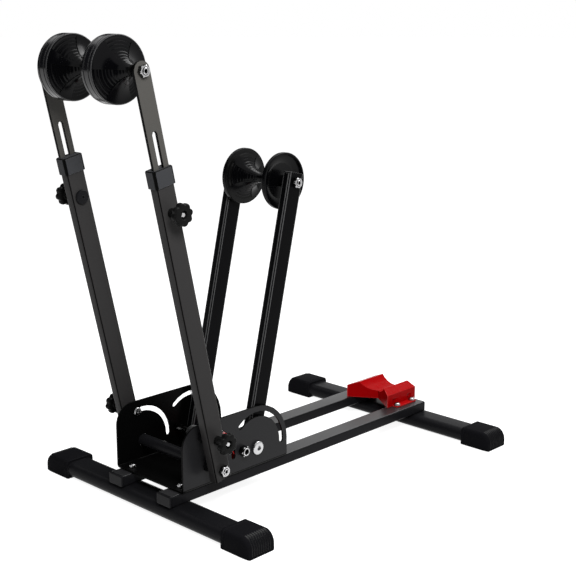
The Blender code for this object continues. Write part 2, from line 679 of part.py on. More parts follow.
def make_entry_pad(stand):
    """The pad on the rails, with bolted tabs in half round pockets."""
    front = PAD_REAR_X - PAD_LENGTH
    seat = RAIL_TOP + FIT
    heights = (PAD_SIDE_HEIGHT, PAD_RIDGE_HEIGHT, PAD_GROOVE_DEPTH)
    pad = make_pad("entry_pad", stand, (front, 0.0, seat), *heights)
    first, last = (x - front for x in PAD_BOLTS_X)
    tabs, pockets, drill = bmesh.new(), bmesh.new(), bmesh.new()
    for _, side in SIDES:
        inner = PAD_HALF_WIDTH - PAD_POCKET_RADIUS
        outer = PAD_BOLT_Y + PAD_TAB_MARGIN
        ends = sorted((side * inner, side * outer))
        corner = PAD_TAB_MARGIN / 2
        low = (first - PAD_TAB_MARGIN, ends[0])
        high = (last + PAD_TAB_MARGIN, ends[1])
        add_prism(tabs, box_outline(low, high, corner, corner), "Z", 0.0, PAD_TAB)
        for x in (first, last):
            place = (x, side * PAD_BOLT_Y)
            pocket = (PAD_TAB, PAD_POCKET_TOP, PAD_POCKET_RADIUS, place, "Z", POCKET_SIDES)
            rod_maker(*pocket, pockets)
            high_end = PAD_TAB + CUT_OVERRUN
            rod_maker(-CUT_OVERRUN, high_end, RAIL_BOLT_RADIUS + FIT, place, "Z", maker=drill)
    carve(pad, "pockets", pockets)
    carve(pad, "tabs", tabs, "UNION")
    carve(pad, "bolt_holes", drill)
    for end, x in zip(("front", "rear"), PAD_BOLTS_X):
        for word, side in SIDES:
            name = f"entry_pad_bolt_{end}_{word}"
            make_rail_bolt(name, x, side * PAD_BOLT_Y, seat + PAD_TAB, stand)


def make_wheel_pad(stand):
    """The lower pad on the bracket's floor, arched at the spring, screwed from below."""
    heights = (WHEEL_PAD_SIDE_HEIGHT, WHEEL_PAD_RIDGE_HEIGHT, WHEEL_PAD_GROOVE_DEPTH)
    pad = make_pad("wheel_pad", stand, (WHEEL_PAD_REAR, 0.0, BRACKET_FLOOR + FIT), *heights)
    pad.rotation_euler.z = math.pi
    radius = (PAD_HALF_WIDTH ** 2 + PAD_ARCH ** 2) / (2 * PAD_ARCH)
    centre = (PAD_LENGTH - PAD_ARCH + radius, 0.0)
    high = WHEEL_PAD_RIDGE_HEIGHT + CUT_OVERRUN
    carve(pad, "arch", rod_maker(-CUT_OVERRUN, high, radius, centre, "Z", ARCH_SIDES))
    hole_place = (WHEEL_PAD_REAR - PAD_SCREW_X, 0.0)
    hole = (-CUT_OVERRUN, PAD_SCREW_DEPTH + FIT, RAIL_BOLT_RADIUS + FIT, hole_place, "Z")
    carve(pad, "screw_hole", rod_maker(*hole))
    tip = -(PLATE + FIT + PAD_SCREW_DEPTH)
    screw = turned(mirrored(button_profile(tip), -1), "Z")
    make_piece("wheel_pad_screw", screw, zinc, stand, (PAD_SCREW_X, 0.0, BRACKET_BOTTOM))


def make_tall_pivot(stand):
    """The tube that the tall arms turn on, with the rod and nut that hold it."""
    place = (TALL_PIVOT_X, 0.0, PIVOT_Z)
    reach = TALL_ARM_INNER_Y - FIT
    hole = ROD_RADIUS + FIT
    outer = PIVOT_TUBE_RADIUS
    profile = [(-reach, hole), (-reach, outer), (reach, outer), (reach, hole)]
    make_piece("tall_pivot_tube", turned(profile, closed=True), powder_black, stand, place)
    seat = TALL_ARM_OUTER_Y + FIT
    sizes = (ROD_RADIUS, (seat, seat), ROD_NUT_FLATS, ROD_NUT_HEIGHT)
    make_rod("tall_pivot_rod", stand, place, *sizes, LEFT)
    nut_place = (TALL_PIVOT_X, RIGHT * seat, PIVOT_Z)
    make_nut("tall_pivot_nut", stand, nut_place, ROD_RADIUS, ROD_NUT_FLATS, ROD_NUT_HEIGHT, RIGHT)


def spring_points():
    """Points along the spring's wire; its first and last curls close in on the shaft."""
    grip_radius = SPRING_SHAFT_RADIUS + FIT + SPRING_WIRE_RADIUS
    count = SPRING_CURLS * SPRING_POINTS_PER_CURL
    points = []
    for index in range(count + 1):
        turn = index / SPRING_POINTS_PER_CURL
        closing = max(0.0, 1.0 - turn, turn - (SPRING_CURLS - 1))
        radius = SPRING_COIL_RADIUS + (grip_radius - SPRING_COIL_RADIUS) * closing
        angle = 2 * math.pi * turn
        along = SPRING_PITCH * (turn - SPRING_CURLS / 2)
        points.append(Vector((radius * math.cos(angle), along, radius * math.sin(angle))))
    tail = 2 * SPRING_WIRE_RADIUS
    points.insert(0, points[0] + Vector((0.0, 0.0, -tail)))
    points.append(points[-1] + Vector((0.0, 0.0, tail)))
    return points


def least_gap(points):
    """Smallest air gap between stretches of the wire that are half a curl or more apart."""
    apart = SPRING_POINTS_PER_CURL // 2
    least = math.inf
    for index, point in enumerate(points):
        for other in points[index + apart:]:
            least = min(least, (point - other).length)
    return least - 2 * SPRING_WIRE_RADIUS


def make_return_spring(stand):
    """The black coil on the shaft in front of the wheel pad, wound as one unbroken wire."""
    points = spring_points()
    print(f"return spring: least gap between curls {least_gap(points) * 1000:.2f} mm")
    curve = bpy.data.curves.new("return_spring", "CURVE")
    curve.dimensions = "3D"
    curve.bevel_depth = SPRING_WIRE_RADIUS
    curve.bevel_resolution = 1
    curve.use_fill_caps = True
    wire = curve.splines.new("POLY")
    wire.points.add(len(points) - 1)
    for spot, point in zip(wire.points, points):
        spot.co = (*point, 1.0)
    spring = bpy.data.objects.new("return_spring", curve)
    bpy.context.scene.collection.objects.link(spring)
    spring.parent = stand
    spring.location = (SPRING_SHAFT_X, 0.0, SPRING_SHAFT_Z)
    curve.materials.append(spring_black("return_spring"))


def make_spring_shaft(stand):
    """The shaft that carries the spring, with its nut on the right."""
    seat = PLATE_OUTER_Y + FIT
    sizes = (SPRING_SHAFT_NUT_FLATS, SPRING_SHAFT_NUT_HEIGHT)
    place = (SPRING_SHAFT_X, 0.0, SPRING_SHAFT_Z)
    make_rod("spring_shaft", stand, place, SPRING_SHAFT_RADIUS, (seat, seat), *sizes, LEFT)
    nut_place = (SPRING_SHAFT_X, RIGHT * seat, SPRING_SHAFT_Z)
    make_nut("spring_shaft_nut", stand, nut_place, SPRING_SHAFT_RADIUS, *sizes, RIGHT)


def make_base(stand):
    """Everything that stands still."""
    make_cross_tube("front_cross_tube", 0.0, BRACKET_BOLTS_X[:1], RAIL_SPREAD / 2, stand)
    make_cross_tube("rear_cross_tube", CROSS_SPACING, PAD_BOLTS_X[1:], PAD_BOLT_Y, stand)
    rail_ends = (("front", -RAIL_FRONT_REACH, -1), ("rear", CROSS_SPACING + RAIL_REAR_REACH, 1))
    for word, side in SIDES:
        make_rail(f"rail_{word}", side, stand)
        for end, x, outward in rail_ends:
            make_rail_plug(f"rail_plug_{end}_{word}", x, side, outward, stand)
        for end, x in (("front", 0.0), ("rear", CROSS_SPACING)):
            make_foot_cap(f"foot_cap_{end}_{word}", x, side, stand)
    make_bracket(stand)
    for end, x in zip(("front", "rear"), BRACKET_BOLTS_X):
        for word, side in SIDES:
            name = f"bracket_bolt_{end}_{word}"
            make_rail_bolt(name, x, side * RAIL_SPREAD / 2, BRACKET_FLOOR, stand)
    make_entry_pad(stand)
    make_wheel_pad(stand)
    make_tall_pivot(stand)
    make_spring_shaft(stand)
    make_return_spring(stand)


def make_tall_arm(name, side, pivot):
    """A rectangular tube that tilts on the pivot; Z runs up the arm."""
    middle = (0.0, side * (TALL_ARM_INNER_Y + TALL_ARM_THICKNESS / 2))
    outer = centred_box(TALL_ARM_WIDTH, TALL_ARM_THICKNESS, ARM_ROUND, middle)
    shrink = 2 * ARM_WALL
    bore_size = (TALL_ARM_WIDTH - shrink, TALL_ARM_THICKNESS - shrink)
    inner = centred_box(*bore_size, ARM_INNER_ROUND, middle, 1)
    maker = add_prism(bmesh.new(), outer, "Z", -TALL_ARM_BELOW, TALL_ARM_TOP, [inner])
    arm = make_piece(name, maker, powder_black, pivot)
    drill = bmesh.new()
    ends = sorted((
        side * (TALL_ARM_INNER_Y - CUT_OVERRUN), side * (TALL_ARM_OUTER_Y + CUT_OVERRUN),
    ))
    bolts = ((0.0, ROD_RADIUS), (SLOT_BOLT_RADIUS, M6_RADIUS), (HEIGHT_BOLT_REACH, M6_RADIUS))
    for reach, radius in bolts:
        rod_maker(*ends, radius + FIT, (0.0, reach), maker=drill)
    carve(arm, "cross_holes", drill)


def make_arm_sleeve(name, side, pivot):
    """The plastic guide over an arm's top end, with a slot for the bar."""
    middle = (0.0, side * (TALL_ARM_INNER_Y + TALL_ARM_THICKNESS / 2))
    grow = 2 * (FIT + SLEEVE_WALL)
    width, depth = TALL_ARM_WIDTH + grow, TALL_ARM_THICKNESS + grow
    trim = 2 * SLEEVE_CHAMFER
    outer = centred_box(width, depth, ARM_ROUND, middle)
    top_face = centred_box(width - trim, depth - trim, ARM_ROUND - SLEEVE_CHAMFER / 2, middle)
    low = SLEEVE_TOP - SLEEVE_LENGTH
    steps = [(low, outer), (SLEEVE_TOP - SLEEVE_CHAMFER, outer), (SLEEVE_TOP, top_face)]
    rings = [[point_on("Z", along, *p) for p in outline] for along, outline in steps]
    sleeve = make_piece(name, add_loft(bmesh.new(), rings), plastic_black, pivot)
    play = 2 * FIT
    socket = centred_box(TALL_ARM_WIDTH + play, TALL_ARM_THICKNESS + play, ARM_ROUND, middle)
    ceiling = SLEEVE_TOP - SLEEVE_END_WALL
    carve(sleeve, "socket", add_prism(bmesh.new(), socket, "Z", low - CUT_OVERRUN, ceiling))
    bar_middle = (0.0, side * (BAR_INNER_Y + BAR_THICKNESS / 2))
    mouth = centred_box(BAR_WIDTH + play, BAR_THICKNESS + play, FIT, bar_middle, 1)
    top = SLEEVE_TOP + CUT_OVERRUN
    carve(sleeve, "bar_slot", add_prism(bmesh.new(), mouth, "Z", ceiling - CUT_OVERRUN, top))


def knob_profile():
    """A star knob's section from its seat outward: boss, lobed grip and recess."""
    hole = M6_RADIUS + FIT
    grip = KNOB_BOSS_LENGTH
    face = KNOB_BOSS_LENGTH + KNOB_THICKNESS
    edge = KNOB_ROUND
    narrow = KNOB_FACE_RADIUS
    return [
        (0.0, hole), (0.0, KNOB_BOSS_RADIUS), (grip, KNOB_BOSS_RADIUS), (grip, narrow, star),
        (grip + edge, KNOB_RADIUS, star), (face - edge, KNOB_RADIUS, star), (face, narrow, star),
        (face, KNOB_RECESS_RADIUS), (face - KNOB_RECESS_DEPTH, KNOB_RECESS_RADIUS),
        (face - KNOB_RECESS_DEPTH, hole),
    ]


def make_knob(name, side, reach, pivot):
    """A star knob on the bolt at a distance up the arm."""
    maker = turned(mirrored(knob_profile(), side), sides=KNOB_SIDES, closed=True)
    place = (0.0, side * (TALL_ARM_OUTER_Y + FIT), reach)
    make_piece(name, maker, plastic_black, pivot, place)


def make_knob_bolt(name, side, reach, seat, head_radius, head_height, finish, pivot):
    """A bolt from a head inside its seat out to its knob's recess."""
    knob_face = TALL_ARM_OUTER_Y + FIT + KNOB_BOSS_LENGTH + KNOB_THICKNESS
    tip = knob_face - KNOB_RECESS_DEPTH / 2
    profile = [
        (seat - head_height, head_radius - BOLT_HEAD_CHAMFER),
        (seat - head_height + BOLT_HEAD_CHAMFER, head_radius),
        (seat, head_radius),
        (seat, M6_RADIUS),
        (tip, M6_RADIUS),
    ]
    maker = turned(mirrored(profile, side))
    make_piece(name, maker, finish, pivot, (0.0, 0.0, reach))


def make_slot_spacer(name, side, pivot):
    """The ring that keeps the arm off the bracket at the slot bolt."""
    low = PLATE_OUTER_Y + FIT
    hole = M6_RADIUS + FIT
    high = low + SPACER_LENGTH
    profile = [(low, hole), (low, SPACER_RADIUS), (high, SPACER_RADIUS), (high, hole)]
    maker = turned(mirrored(profile, side), closed=True)
    make_piece(name, maker, plastic_black, pivot, (0.0, 0.0, SLOT_BOLT_RADIUS))


def make_extension_bar(name, side, extension):
    """A slotted flat bar inside the arm that carries one end of the tall axle."""
    half = BAR_WIDTH / 2
    outline = [(-half, BAR_FOOT), (half, BAR_FOOT)]
    outline += arc((0.0, TALL_AXLE_REACH), half, 0, 180, ROUND_STEPS)
    gap = M6_RADIUS + BAR_SLOT_PLAY
    slot = arc((0.0, BAR_SLOT_HIGH), gap, 0, 180, CORNER_STEPS)
    slot += arc((0.0, BAR_SLOT_LOW), gap, 180, 360, CORNER_STEPS)
    axle_hole = circle((0.0, TALL_AXLE_REACH), ROD_RADIUS + FIT)
    ends = sorted((side * BAR_INNER_Y, side * BAR_OUTER_Y))
    maker = add_prism(bmesh.new(), outline, "Y", *ends, [slot, axle_hole])
    make_piece(name, maker, powder_black, extension)


def flare(start, end, neck, rim):
    """A trumpet curve from a neck at start to a rim at end, as (along, radius) steps."""
    curve = []
    for step in range(FLARE_STEPS + 1):
        angle = math.pi / 2 * step / FLARE_STEPS
        along = start + (end - start) * math.sin(angle)
        curve.append((along, neck + (rim - neck) * (1 - math.cos(angle))))
    return curve


def tall_roller_profile():
    """A roller that flares from the stand's middle to its rim and back to the bar."""
    hole = ROD_RADIUS + FIT
    inner_end, outer_end = FIT / 2, BAR_INNER_Y - FIT
    outer_rim_y = TALL_RIM_INNER_Y + TALL_RIM_WIDTH
    shoulder = TALL_ROLLER_RADIUS - RIM_CHAMFER
    profile = [(inner_end, hole)]
    profile += flare(inner_end, TALL_RIM_INNER_Y, ROLLER_NECK_RADIUS, shoulder)
    profile.append((TALL_RIM_INNER_Y + RIM_CHAMFER, TALL_ROLLER_RADIUS))
    profile.append((outer_rim_y - RIM_CHAMFER, TALL_ROLLER_RADIUS))
    profile += reversed(flare(TALL_NECK_Y, outer_rim_y, ROLLER_NECK_RADIUS, shoulder))
    profile += [(outer_end, ROLLER_NECK_RADIUS), (outer_end, hole)]
    return profile


def make_tall_arms(stand):
    """The tall arms with their bars and rollers, leaning towards -X."""
    pivot = make_empty("tall_pivot", (TALL_PIVOT_X, 0.0, PIVOT_Z), -TALL_LEAN, stand)
    extension = make_empty("tall_extension", (0.0, 0.0, 0.0), 0.0, pivot)
    for word, side in SIDES:
        make_tall_arm(f"tall_arm_{word}", side, pivot)
        make_arm_sleeve(f"arm_sleeve_{word}", side, pivot)
        make_slot_spacer(f"slot_spacer_{word}", side, pivot)
        slot_head = (PLATE_INNER_Y - FIT, SLOT_BOLT_HEAD_RADIUS, SLOT_BOLT_HEAD_HEIGHT)
        make_knob_bolt(f"slot_bolt_{word}", side, SLOT_BOLT_RADIUS, *slot_head, zinc, pivot)
        make_knob(f"slot_knob_{word}", side, SLOT_BOLT_RADIUS, pivot)
        inner_head = (TALL_ARM_INNER_Y - FIT, HEIGHT_BOLT_HEAD_RADIUS, HEIGHT_BOLT_HEAD_HEIGHT)
        bolt_name = f"height_bolt_{word}"
        make_knob_bolt(bolt_name, side, HEIGHT_BOLT_REACH, *inner_head, plastic_black, pivot)
        make_knob(f"height_knob_{word}", side, HEIGHT_BOLT_REACH, pivot)
        make_extension_bar(f"extension_bar_{word}", side, extension)
        roller = turned(mirrored(tall_roller_profile(), side), sides=ROLLER_SIDES, closed=True)
        place = (0.0, 0.0, TALL_AXLE_REACH)
        make_piece(f"tall_roller_{word}", roller, plastic_black, extension, place)
    seat = BAR_OUTER_Y + FIT
    sizes = (ROD_NUT_FLATS, ROD_NUT_HEIGHT)
    axle_place = (0.0, 0.0, TALL_AXLE_REACH)
    make_rod("tall_axle", extension, axle_place, ROD_RADIUS, (seat, seat), *sizes, LEFT)
    nut_place = (0.0, RIGHT * seat, TALL_AXLE_REACH)
    make_nut("tall_axle_nut", extension, nut_place, ROD_RADIUS, *sizes, RIGHT)


def make_short_arm(name, side, pivot):
    """A closed-top rectangular tube with a nut welded inside its pivot hole."""
    half = SHORT_ARM_WIDTH / 2
    foot, head = -SHORT_ARM_OVERHANG, SHORT_AXLE_REACH + SHORT_ARM_OVERHANG
    middle = (0.0, side * (SHORT_ARM_INNER_Y + SHORT_ARM_THICKNESS / 2))
    section = centred_box(SHORT_ARM_WIDTH, SHORT_ARM_THICKNESS, ARM_ROUND, middle)
    maker = add_prism(bmesh.new(), section, "Z", foot - CUT_OVERRUN, head + CUT_OVERRUN)
    arm = make_piece(name, maker, powder_black, pivot)
    corner = SHORT_ARM_END_ROUND
    outline = box_outline((-half - CUT_OVERRUN, foot), (half + CUT_OVERRUN, head), corner, corner)
    ends = sorted((
        side * (SHORT_ARM_INNER_Y - CUT_OVERRUN), side * (SHORT_ARM_OUTER_Y + CUT_OVERRUN),
    ))
    carve(arm, "rounded_ends", add_prism(bmesh.new(), outline, "Y", *ends), "INTERSECT")
    shrink = 2 * ARM_WALL
    bore_size = (SHORT_ARM_WIDTH - shrink, SHORT_ARM_THICKNESS - shrink)
    bore = centred_box(*bore_size, ARM_INNER_ROUND, middle, 1)
    ceiling = head - SHORT_ARM_END_WALL
    carve(arm, "bore", add_prism(bmesh.new(), bore, "Z", foot - CUT_OVERRUN, ceiling))
    nut_face = SHORT_ARM_INNER_Y - WELD_NUT_HEIGHT
    nut_root = SHORT_ARM_INNER_Y + ARM_WALL / 2
    nut = [(nut_face, ROD_NUT_FLATS / 2, hexagon), (nut_root, ROD_NUT_FLATS / 2, hexagon)]
    carve(arm, "weld_nut", turned(mirrored(nut, side), sides=HEX_SIDES), "UNION")
    drill = bmesh.new()
    inner, outer = nut_face - CUT_OVERRUN, SHORT_ARM_OUTER_Y + CUT_OVERRUN
    span = sorted((side * inner, side * outer))
    bolts = [(0.0, ROD_RADIUS), (SHORT_AXLE_REACH, ROD_RADIUS)]
    if side == LEFT:
        bolts.append((WING_SCREW_RADIUS, M6_RADIUS))
    for reach, radius in bolts:
        rod_maker(*span, radius + FIT, (0.0, reach), maker=drill)
    carve(arm, "cross_holes", drill)


def make_short_pivot_bolt(name, side, pivot):
    """A shoulder bolt through the bracket, threaded into the short arm."""
    thread_end = SHORT_ARM_INNER_Y - WELD_NUT_HEIGHT - FIT
    shoulder_end = SHORT_ARM_OUTER_Y + FIT
    seat = PLATE_OUTER_Y + FIT
    profile = [
        (thread_end, ROD_RADIUS),
        (shoulder_end, ROD_RADIUS),
        (shoulder_end, SHOULDER_RADIUS),
        (seat, SHOULDER_RADIUS),
        (seat, SHOULDER_HEAD_RADIUS),
        (seat + SHOULDER_HEAD_HEIGHT - BOLT_HEAD_CHAMFER, SHOULDER_HEAD_RADIUS),
        (seat + SHOULDER_HEAD_HEIGHT, SHOULDER_HEAD_RADIUS - BOLT_HEAD_CHAMFER),
    ]
    make_piece(name, turned(mirrored(profile, side)), zinc, pivot)


def short_roller_profile():
    """A disc that flares from the stand's middle, hollow behind, on a long hub."""
    hole = ROD_RADIUS + FIT
    inner_end, outer_end = FIT / 2, SHORT_ARM_INNER_Y - FIT
    back_y = SHORT_RIM_INNER_Y + SHORT_RIM_WIDTH
    shoulder = SHORT_ROLLER_RADIUS - RIM_CHAMFER
    lip = SHORT_ROLLER_RADIUS - SHORT_ROLLER_SHELL
    profile = [(inner_end, hole)]
    profile += flare(inner_end, SHORT_RIM_INNER_Y, ROLLER_NECK_RADIUS, shoulder)
    profile.append((SHORT_RIM_INNER_Y + RIM_CHAMFER, SHORT_ROLLER_RADIUS))
    profile.append((back_y - RIM_CHAMFER, SHORT_ROLLER_RADIUS))
    profile += [(back_y, shoulder), (back_y, lip)]
    shell = SHORT_ROLLER_SHELL
    hollow = flare(inner_end + shell, SHORT_RIM_INNER_Y + shell, ROLLER_NECK_RADIUS, lip)
    profile += [step for step in reversed(hollow[:-1]) if step[1] > ROLLER_HUB_RADIUS + shell]
    profile += [(profile[-1][0], ROLLER_HUB_RADIUS), (outer_end, ROLLER_HUB_RADIUS)]
    profile.append((outer_end, hole))
    return profile


def make_wing_screw(pivot):
    """The wing screw that clamps the left short arm in its slot and holds the hook."""
    seat = PLATE_OUTER_Y + FIT
    hook_face = SHORT_ARM_INNER_Y - FIT - 2 * HOOK_ROD_RADIUS
    profile = [
        (hook_face, M6_RADIUS),
        (seat, M6_RADIUS),
        (seat, WING_HUB_RADIUS),
        (seat + WING_HUB_HEIGHT, WING_HUB_TOP_RADIUS),
    ]
    place = (0.0, 0.0, WING_SCREW_RADIUS)
    screw = make_piece("wing_screw", turned(profile), zinc, pivot, place)
    left_wing = [
        (seat + WING_FOOT, WING_ROOT / 2),
        (seat + WING_ELBOW, WING_SPAN / 2),
        (seat + WING_TIP, WING_TOP_SPAN / 2),
        (seat + WING_SADDLE, WING_ROOT / 2),
    ]
    wings = left_wing + [(along, -across) for along, across in reversed(left_wing)]
    half = WING_THICKNESS / 2
    carve(screw, "wings", add_prism(bmesh.new(), wings, "X", -half, half), "UNION")


def rounded_path(corners, radius, steps=CORNER_STEPS):
    """Return a path through corner points with each bend turned into an arc."""
    path = [corners[0]]
    for before, corner, after in zip(corners, corners[1:], corners[2:]):
        way_in, way_out = (corner - before).normalized(), (after - corner).normalized()
        bend = way_in.angle(way_out)
        setback = radius * math.tan(bend / 2)
        start = corner - way_in * setback
        inward = (way_out - way_in * way_in.dot(way_out)).normalized()
        centre = start + inward * radius
        for step in range(steps + 1):
            angle = bend * step / steps
            path.append(centre + radius * (way_in * math.sin(angle) - inward * math.cos(angle)))
    path.append(corners[-1])
    return path


def add_rod_along(maker, path, radius, sides=HOOK_SIDES):
    """Add a round rod whose middle follows a path."""
    rings = []
    across = Vector((0.0, 1.0, 0.0))
    for index, point in enumerate(path):
        before, after = path[max(index - 1, 0)], path[min(index + 1, len(path) - 1)]
        way = (after - before).normalized()
        if abs(way.dot(across)) > 0.9999:
            across = Vector((1.0, 0.0, 0.0))
        across = (across - way * across.dot(way)).normalized()
        other = way.cross(across)
        ring = []
        for side in range(sides):
            angle = 2 * math.pi * side / sides
            ring.append(point + radius * (across * math.cos(angle) + other * math.sin(angle)))
        rings.append(ring)
    return add_loft(maker, rings)


def make_fold_hook(pivot):
    """The bent rod that is pinned inside the left short arm and hooks round its front."""
    inner_y = SHORT_ARM_INNER_Y - FIT - HOOK_ROD_RADIUS
    front_x = -(SHORT_ARM_WIDTH / 2 + FIT + HOOK_ROD_RADIUS)
    rise = HOOK_CROSS_REACH - WING_SCREW_RADIUS
    start_z = HOOK_EYE_RADIUS - HOOK_ROD_RADIUS / 2
    corners = [
        Vector((0.0, inner_y, start_z)),
        Vector((0.0, inner_y, rise)),
        Vector((front_x, inner_y, rise)),
        Vector((front_x, HOOK_OUTER_Y, rise)),
        Vector((front_x + HOOK_TIP_DROP, HOOK_OUTER_Y, rise)),
    ]
    path = rounded_path(corners, ARM_ROUND + FIT + HOOK_ROD_RADIUS)
    place = (0.0, 0.0, WING_SCREW_RADIUS)
    maker = add_rod_along(bmesh.new(), path, HOOK_ROD_RADIUS)
    hook = make_piece("fold_hook", maker, powder_black, pivot, place)
    low, high = inner_y - HOOK_ROD_RADIUS, inner_y + HOOK_ROD_RADIUS
    carve(hook, "eye", rod_maker(low, high, HOOK_EYE_RADIUS, (0.0, 0.0)), "UNION")
    span = (low - CUT_OVERRUN, high + CUT_OVERRUN)
    carve(hook, "eye_hole", rod_maker(*span, M6_RADIUS + FIT, (0.0, 0.0)))


def make_short_arms(stand):
    """The short arms with their rollers, wing screw and hook."""
    pivot = make_empty("short_pivot", (SHORT_PIVOT_X, 0.0, PIVOT_Z), SHORT_LEAN, stand)
    axle_place = (0.0, 0.0, SHORT_AXLE_REACH)
    for word, side in SIDES:
        make_short_arm(f"short_arm_{word}", side, pivot)
        make_short_pivot_bolt(f"short_pivot_bolt_{word}", side, pivot)
        roller = turned(mirrored(short_roller_profile(), side), sides=ROLLER_SIDES, closed=True)
        make_piece(f"short_roller_{word}", roller, plastic_black, pivot, axle_place)
    seat = SHORT_ARM_OUTER_Y + FIT
    sizes = (ROD_NUT_FLATS, ROD_NUT_HEIGHT)
    make_rod("short_axle", pivot, axle_place, ROD_RADIUS, (seat, seat), *sizes, LEFT)
    nut_place = (0.0, RIGHT * seat, SHORT_AXLE_REACH)
    make_nut("short_axle_nut", pivot, nut_place, ROD_RADIUS, *sizes, RIGHT)
    make_wing_screw(pivot)
    make_fold_hook(pivot)


def main():
    clear_scene()
    stand = make_empty("stand", (-MIDDLE_X, 0.0, 0.0))
    make_base(stand)
    make_tall_arms(stand)
    make_short_arms(stand)


main()
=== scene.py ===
import json
import math

import bmesh
import bpy
from mathutils import Matrix, Vector

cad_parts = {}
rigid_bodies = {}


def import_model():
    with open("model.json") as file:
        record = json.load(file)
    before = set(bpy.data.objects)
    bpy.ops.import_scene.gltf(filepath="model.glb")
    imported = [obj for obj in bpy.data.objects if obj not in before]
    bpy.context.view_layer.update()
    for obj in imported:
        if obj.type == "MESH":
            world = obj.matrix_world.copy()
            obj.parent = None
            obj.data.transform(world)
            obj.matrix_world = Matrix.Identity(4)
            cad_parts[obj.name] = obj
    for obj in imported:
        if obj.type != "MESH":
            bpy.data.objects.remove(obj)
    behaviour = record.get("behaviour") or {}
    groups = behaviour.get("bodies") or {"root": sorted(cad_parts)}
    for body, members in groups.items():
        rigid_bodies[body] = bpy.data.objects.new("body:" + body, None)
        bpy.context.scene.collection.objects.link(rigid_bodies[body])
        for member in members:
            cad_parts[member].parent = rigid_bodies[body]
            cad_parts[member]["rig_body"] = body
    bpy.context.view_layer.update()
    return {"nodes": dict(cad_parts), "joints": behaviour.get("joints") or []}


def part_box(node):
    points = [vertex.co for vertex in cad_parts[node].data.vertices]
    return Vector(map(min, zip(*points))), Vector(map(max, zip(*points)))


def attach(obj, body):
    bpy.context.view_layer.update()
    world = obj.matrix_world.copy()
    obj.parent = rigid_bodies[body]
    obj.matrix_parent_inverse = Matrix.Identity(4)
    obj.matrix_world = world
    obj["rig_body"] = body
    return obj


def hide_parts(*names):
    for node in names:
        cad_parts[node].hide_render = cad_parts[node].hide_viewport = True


# A floor stand for a parked bicycle. Metres, +Z up, the wheel rolls in along -X.
LEFT, RIGHT = 1, -1
SIDES = (("left", LEFT), ("right", RIGHT))
ENDS = ("front", "rear")

# Camera and studio
CAMERA_PLACE = (-1.1270, -1.1438, 0.6436)
CAMERA_PITCH = math.radians(90 - 13.25)
CAMERA_TURN = math.radians(-45.982)
CAMERA_LENS = 73.18  # mm, on a 36 mm sensor
CAMERA_CLIP = (0.01, 50.0)  # nearest and farthest that it sees
FLOOR_RADIUS = 30.0
FLOOR_SIDES = 96
FLOOR_COLOUR = (0.50, 0.50, 0.50)
FLOOR_ROUGHNESS = 0.9
FLOOR_GLOW = 0.89  # added where the camera or a reflection sees the floor
WORLD_STRENGTH = 0.25
KEY_LAMP = ((1.2, -0.2, 2.1), (-0.1, 0.0, 0.3), (1.6, 1.6), 46)  # place, target, size, watts
FRONT_LAMP = ((-0.60, -0.85, 1.00), (-0.30, -0.1, 0.65), (0.4, 0.4), 16)
DARK_CARDS = (  # only reflections see them: place, size, turn
    ((-0.80, -0.82, 0.60), (1.1, 1.6), CAMERA_TURN),
    ((0.55, 1.42, 0.70), (1.2, 1.4), math.radians(-35)),
    ((-1.00, 1.15, 1.25), (2.0, 1.5), math.radians(40)),
)
CARD_COLOUR = (0.02, 0.02, 0.02)
CARD_ROUGHNESS = 1.0

# Softened edges of sheet metal, tubes and mouldings
METAL_EDGE = 0.0004
PLASTIC_EDGE = 0.0006
PAD_EDGE = 0.0016
EDGE_STEPS = 3
PAD_EDGE_STEPS = 5
SHARP_ANGLE = math.radians(38)
SHELL_SHARP_ANGLE = math.radians(60)
ROLLER_SHARP_ANGLE = math.radians(30)
CAP_SHARP_ANGLE = math.radians(45)
FLAT_ANGLE = math.radians(0.6)
FLAT_ENOUGH = 0.985  # a face whose normal lies this close to an axis is flat
HALF_FLAT = 0.9  # and one this close is the side of a rounded corner
WELD_DISTANCE = 0.00001
PARALLEL = 0.9999  # cosine between two directions that count as parallel
FACE_WEIGHT = 80

# Pivots and reaches, from the stand's own parts
FIT = 0.0003
PLATE_OUTER_Y = 0.0685
PLATE_INNER_Y = 0.066
TALL_ARM_INNER_Y = 0.0811
TALL_ARM_OUTER_Y = 0.0958
BAR_OUTER_Y = 0.0940
BAR_INNER_Y = 0.0900
SHORT_ARM_OUTER_Y = 0.062
SHORT_ARM_INNER_Y = 0.0487
SHORT_ARM_DEPTH = 0.0273
SLOT_BOLT_REACH = 0.045
HEIGHT_BOLT_REACH = 0.355
TALL_AXLE_REACH = 0.5252
SHORT_AXLE_REACH = 0.3633
WING_SCREW_REACH = 0.0475
WELD_NUT_HEIGHT = 0.006

# Nuts and rods
ROD_RADIUS = 0.004
ROD_NUT_FLATS = 0.013
ROD_NUT_HEIGHT = 0.0062
ROD_HEAD_HEIGHT = 0.005
ROD_PAST_NUT = 0.001
ROD_POINT_WALL = 0.0018  # a rod's point is hollow
ROD_POINT_DEPTH = 0.010
ROD_POINT_TAPER = 0.9
ROD_POINT_CHAMFER = 0.0005
ROD_POINT_LEAD = (0.0006, 0.0004)  # along and out
HEX_SEAT_SHARE = 0.95  # washer face, as a share of half the flats
HEX_SEAT_CHAMFER = 0.0004
HEAD_TOP_SHARE = 0.96
HEAD_TOP_CHAMFER = 0.0008
HEAD_CENTRE_SHARE = 0.3
NUT_TOP_SHARE = 0.98
NUT_TOP_CHAMFER = 0.0009
NUT_LEAD = 0.0007
SPRING_SHAFT_RADIUS = 0.0055
SPRING_NUT_HEIGHT = 0.008
FASTENER_SIDES = 96
FLANK_LIMIT = 0.5  # a flank looks no further along the axis than this

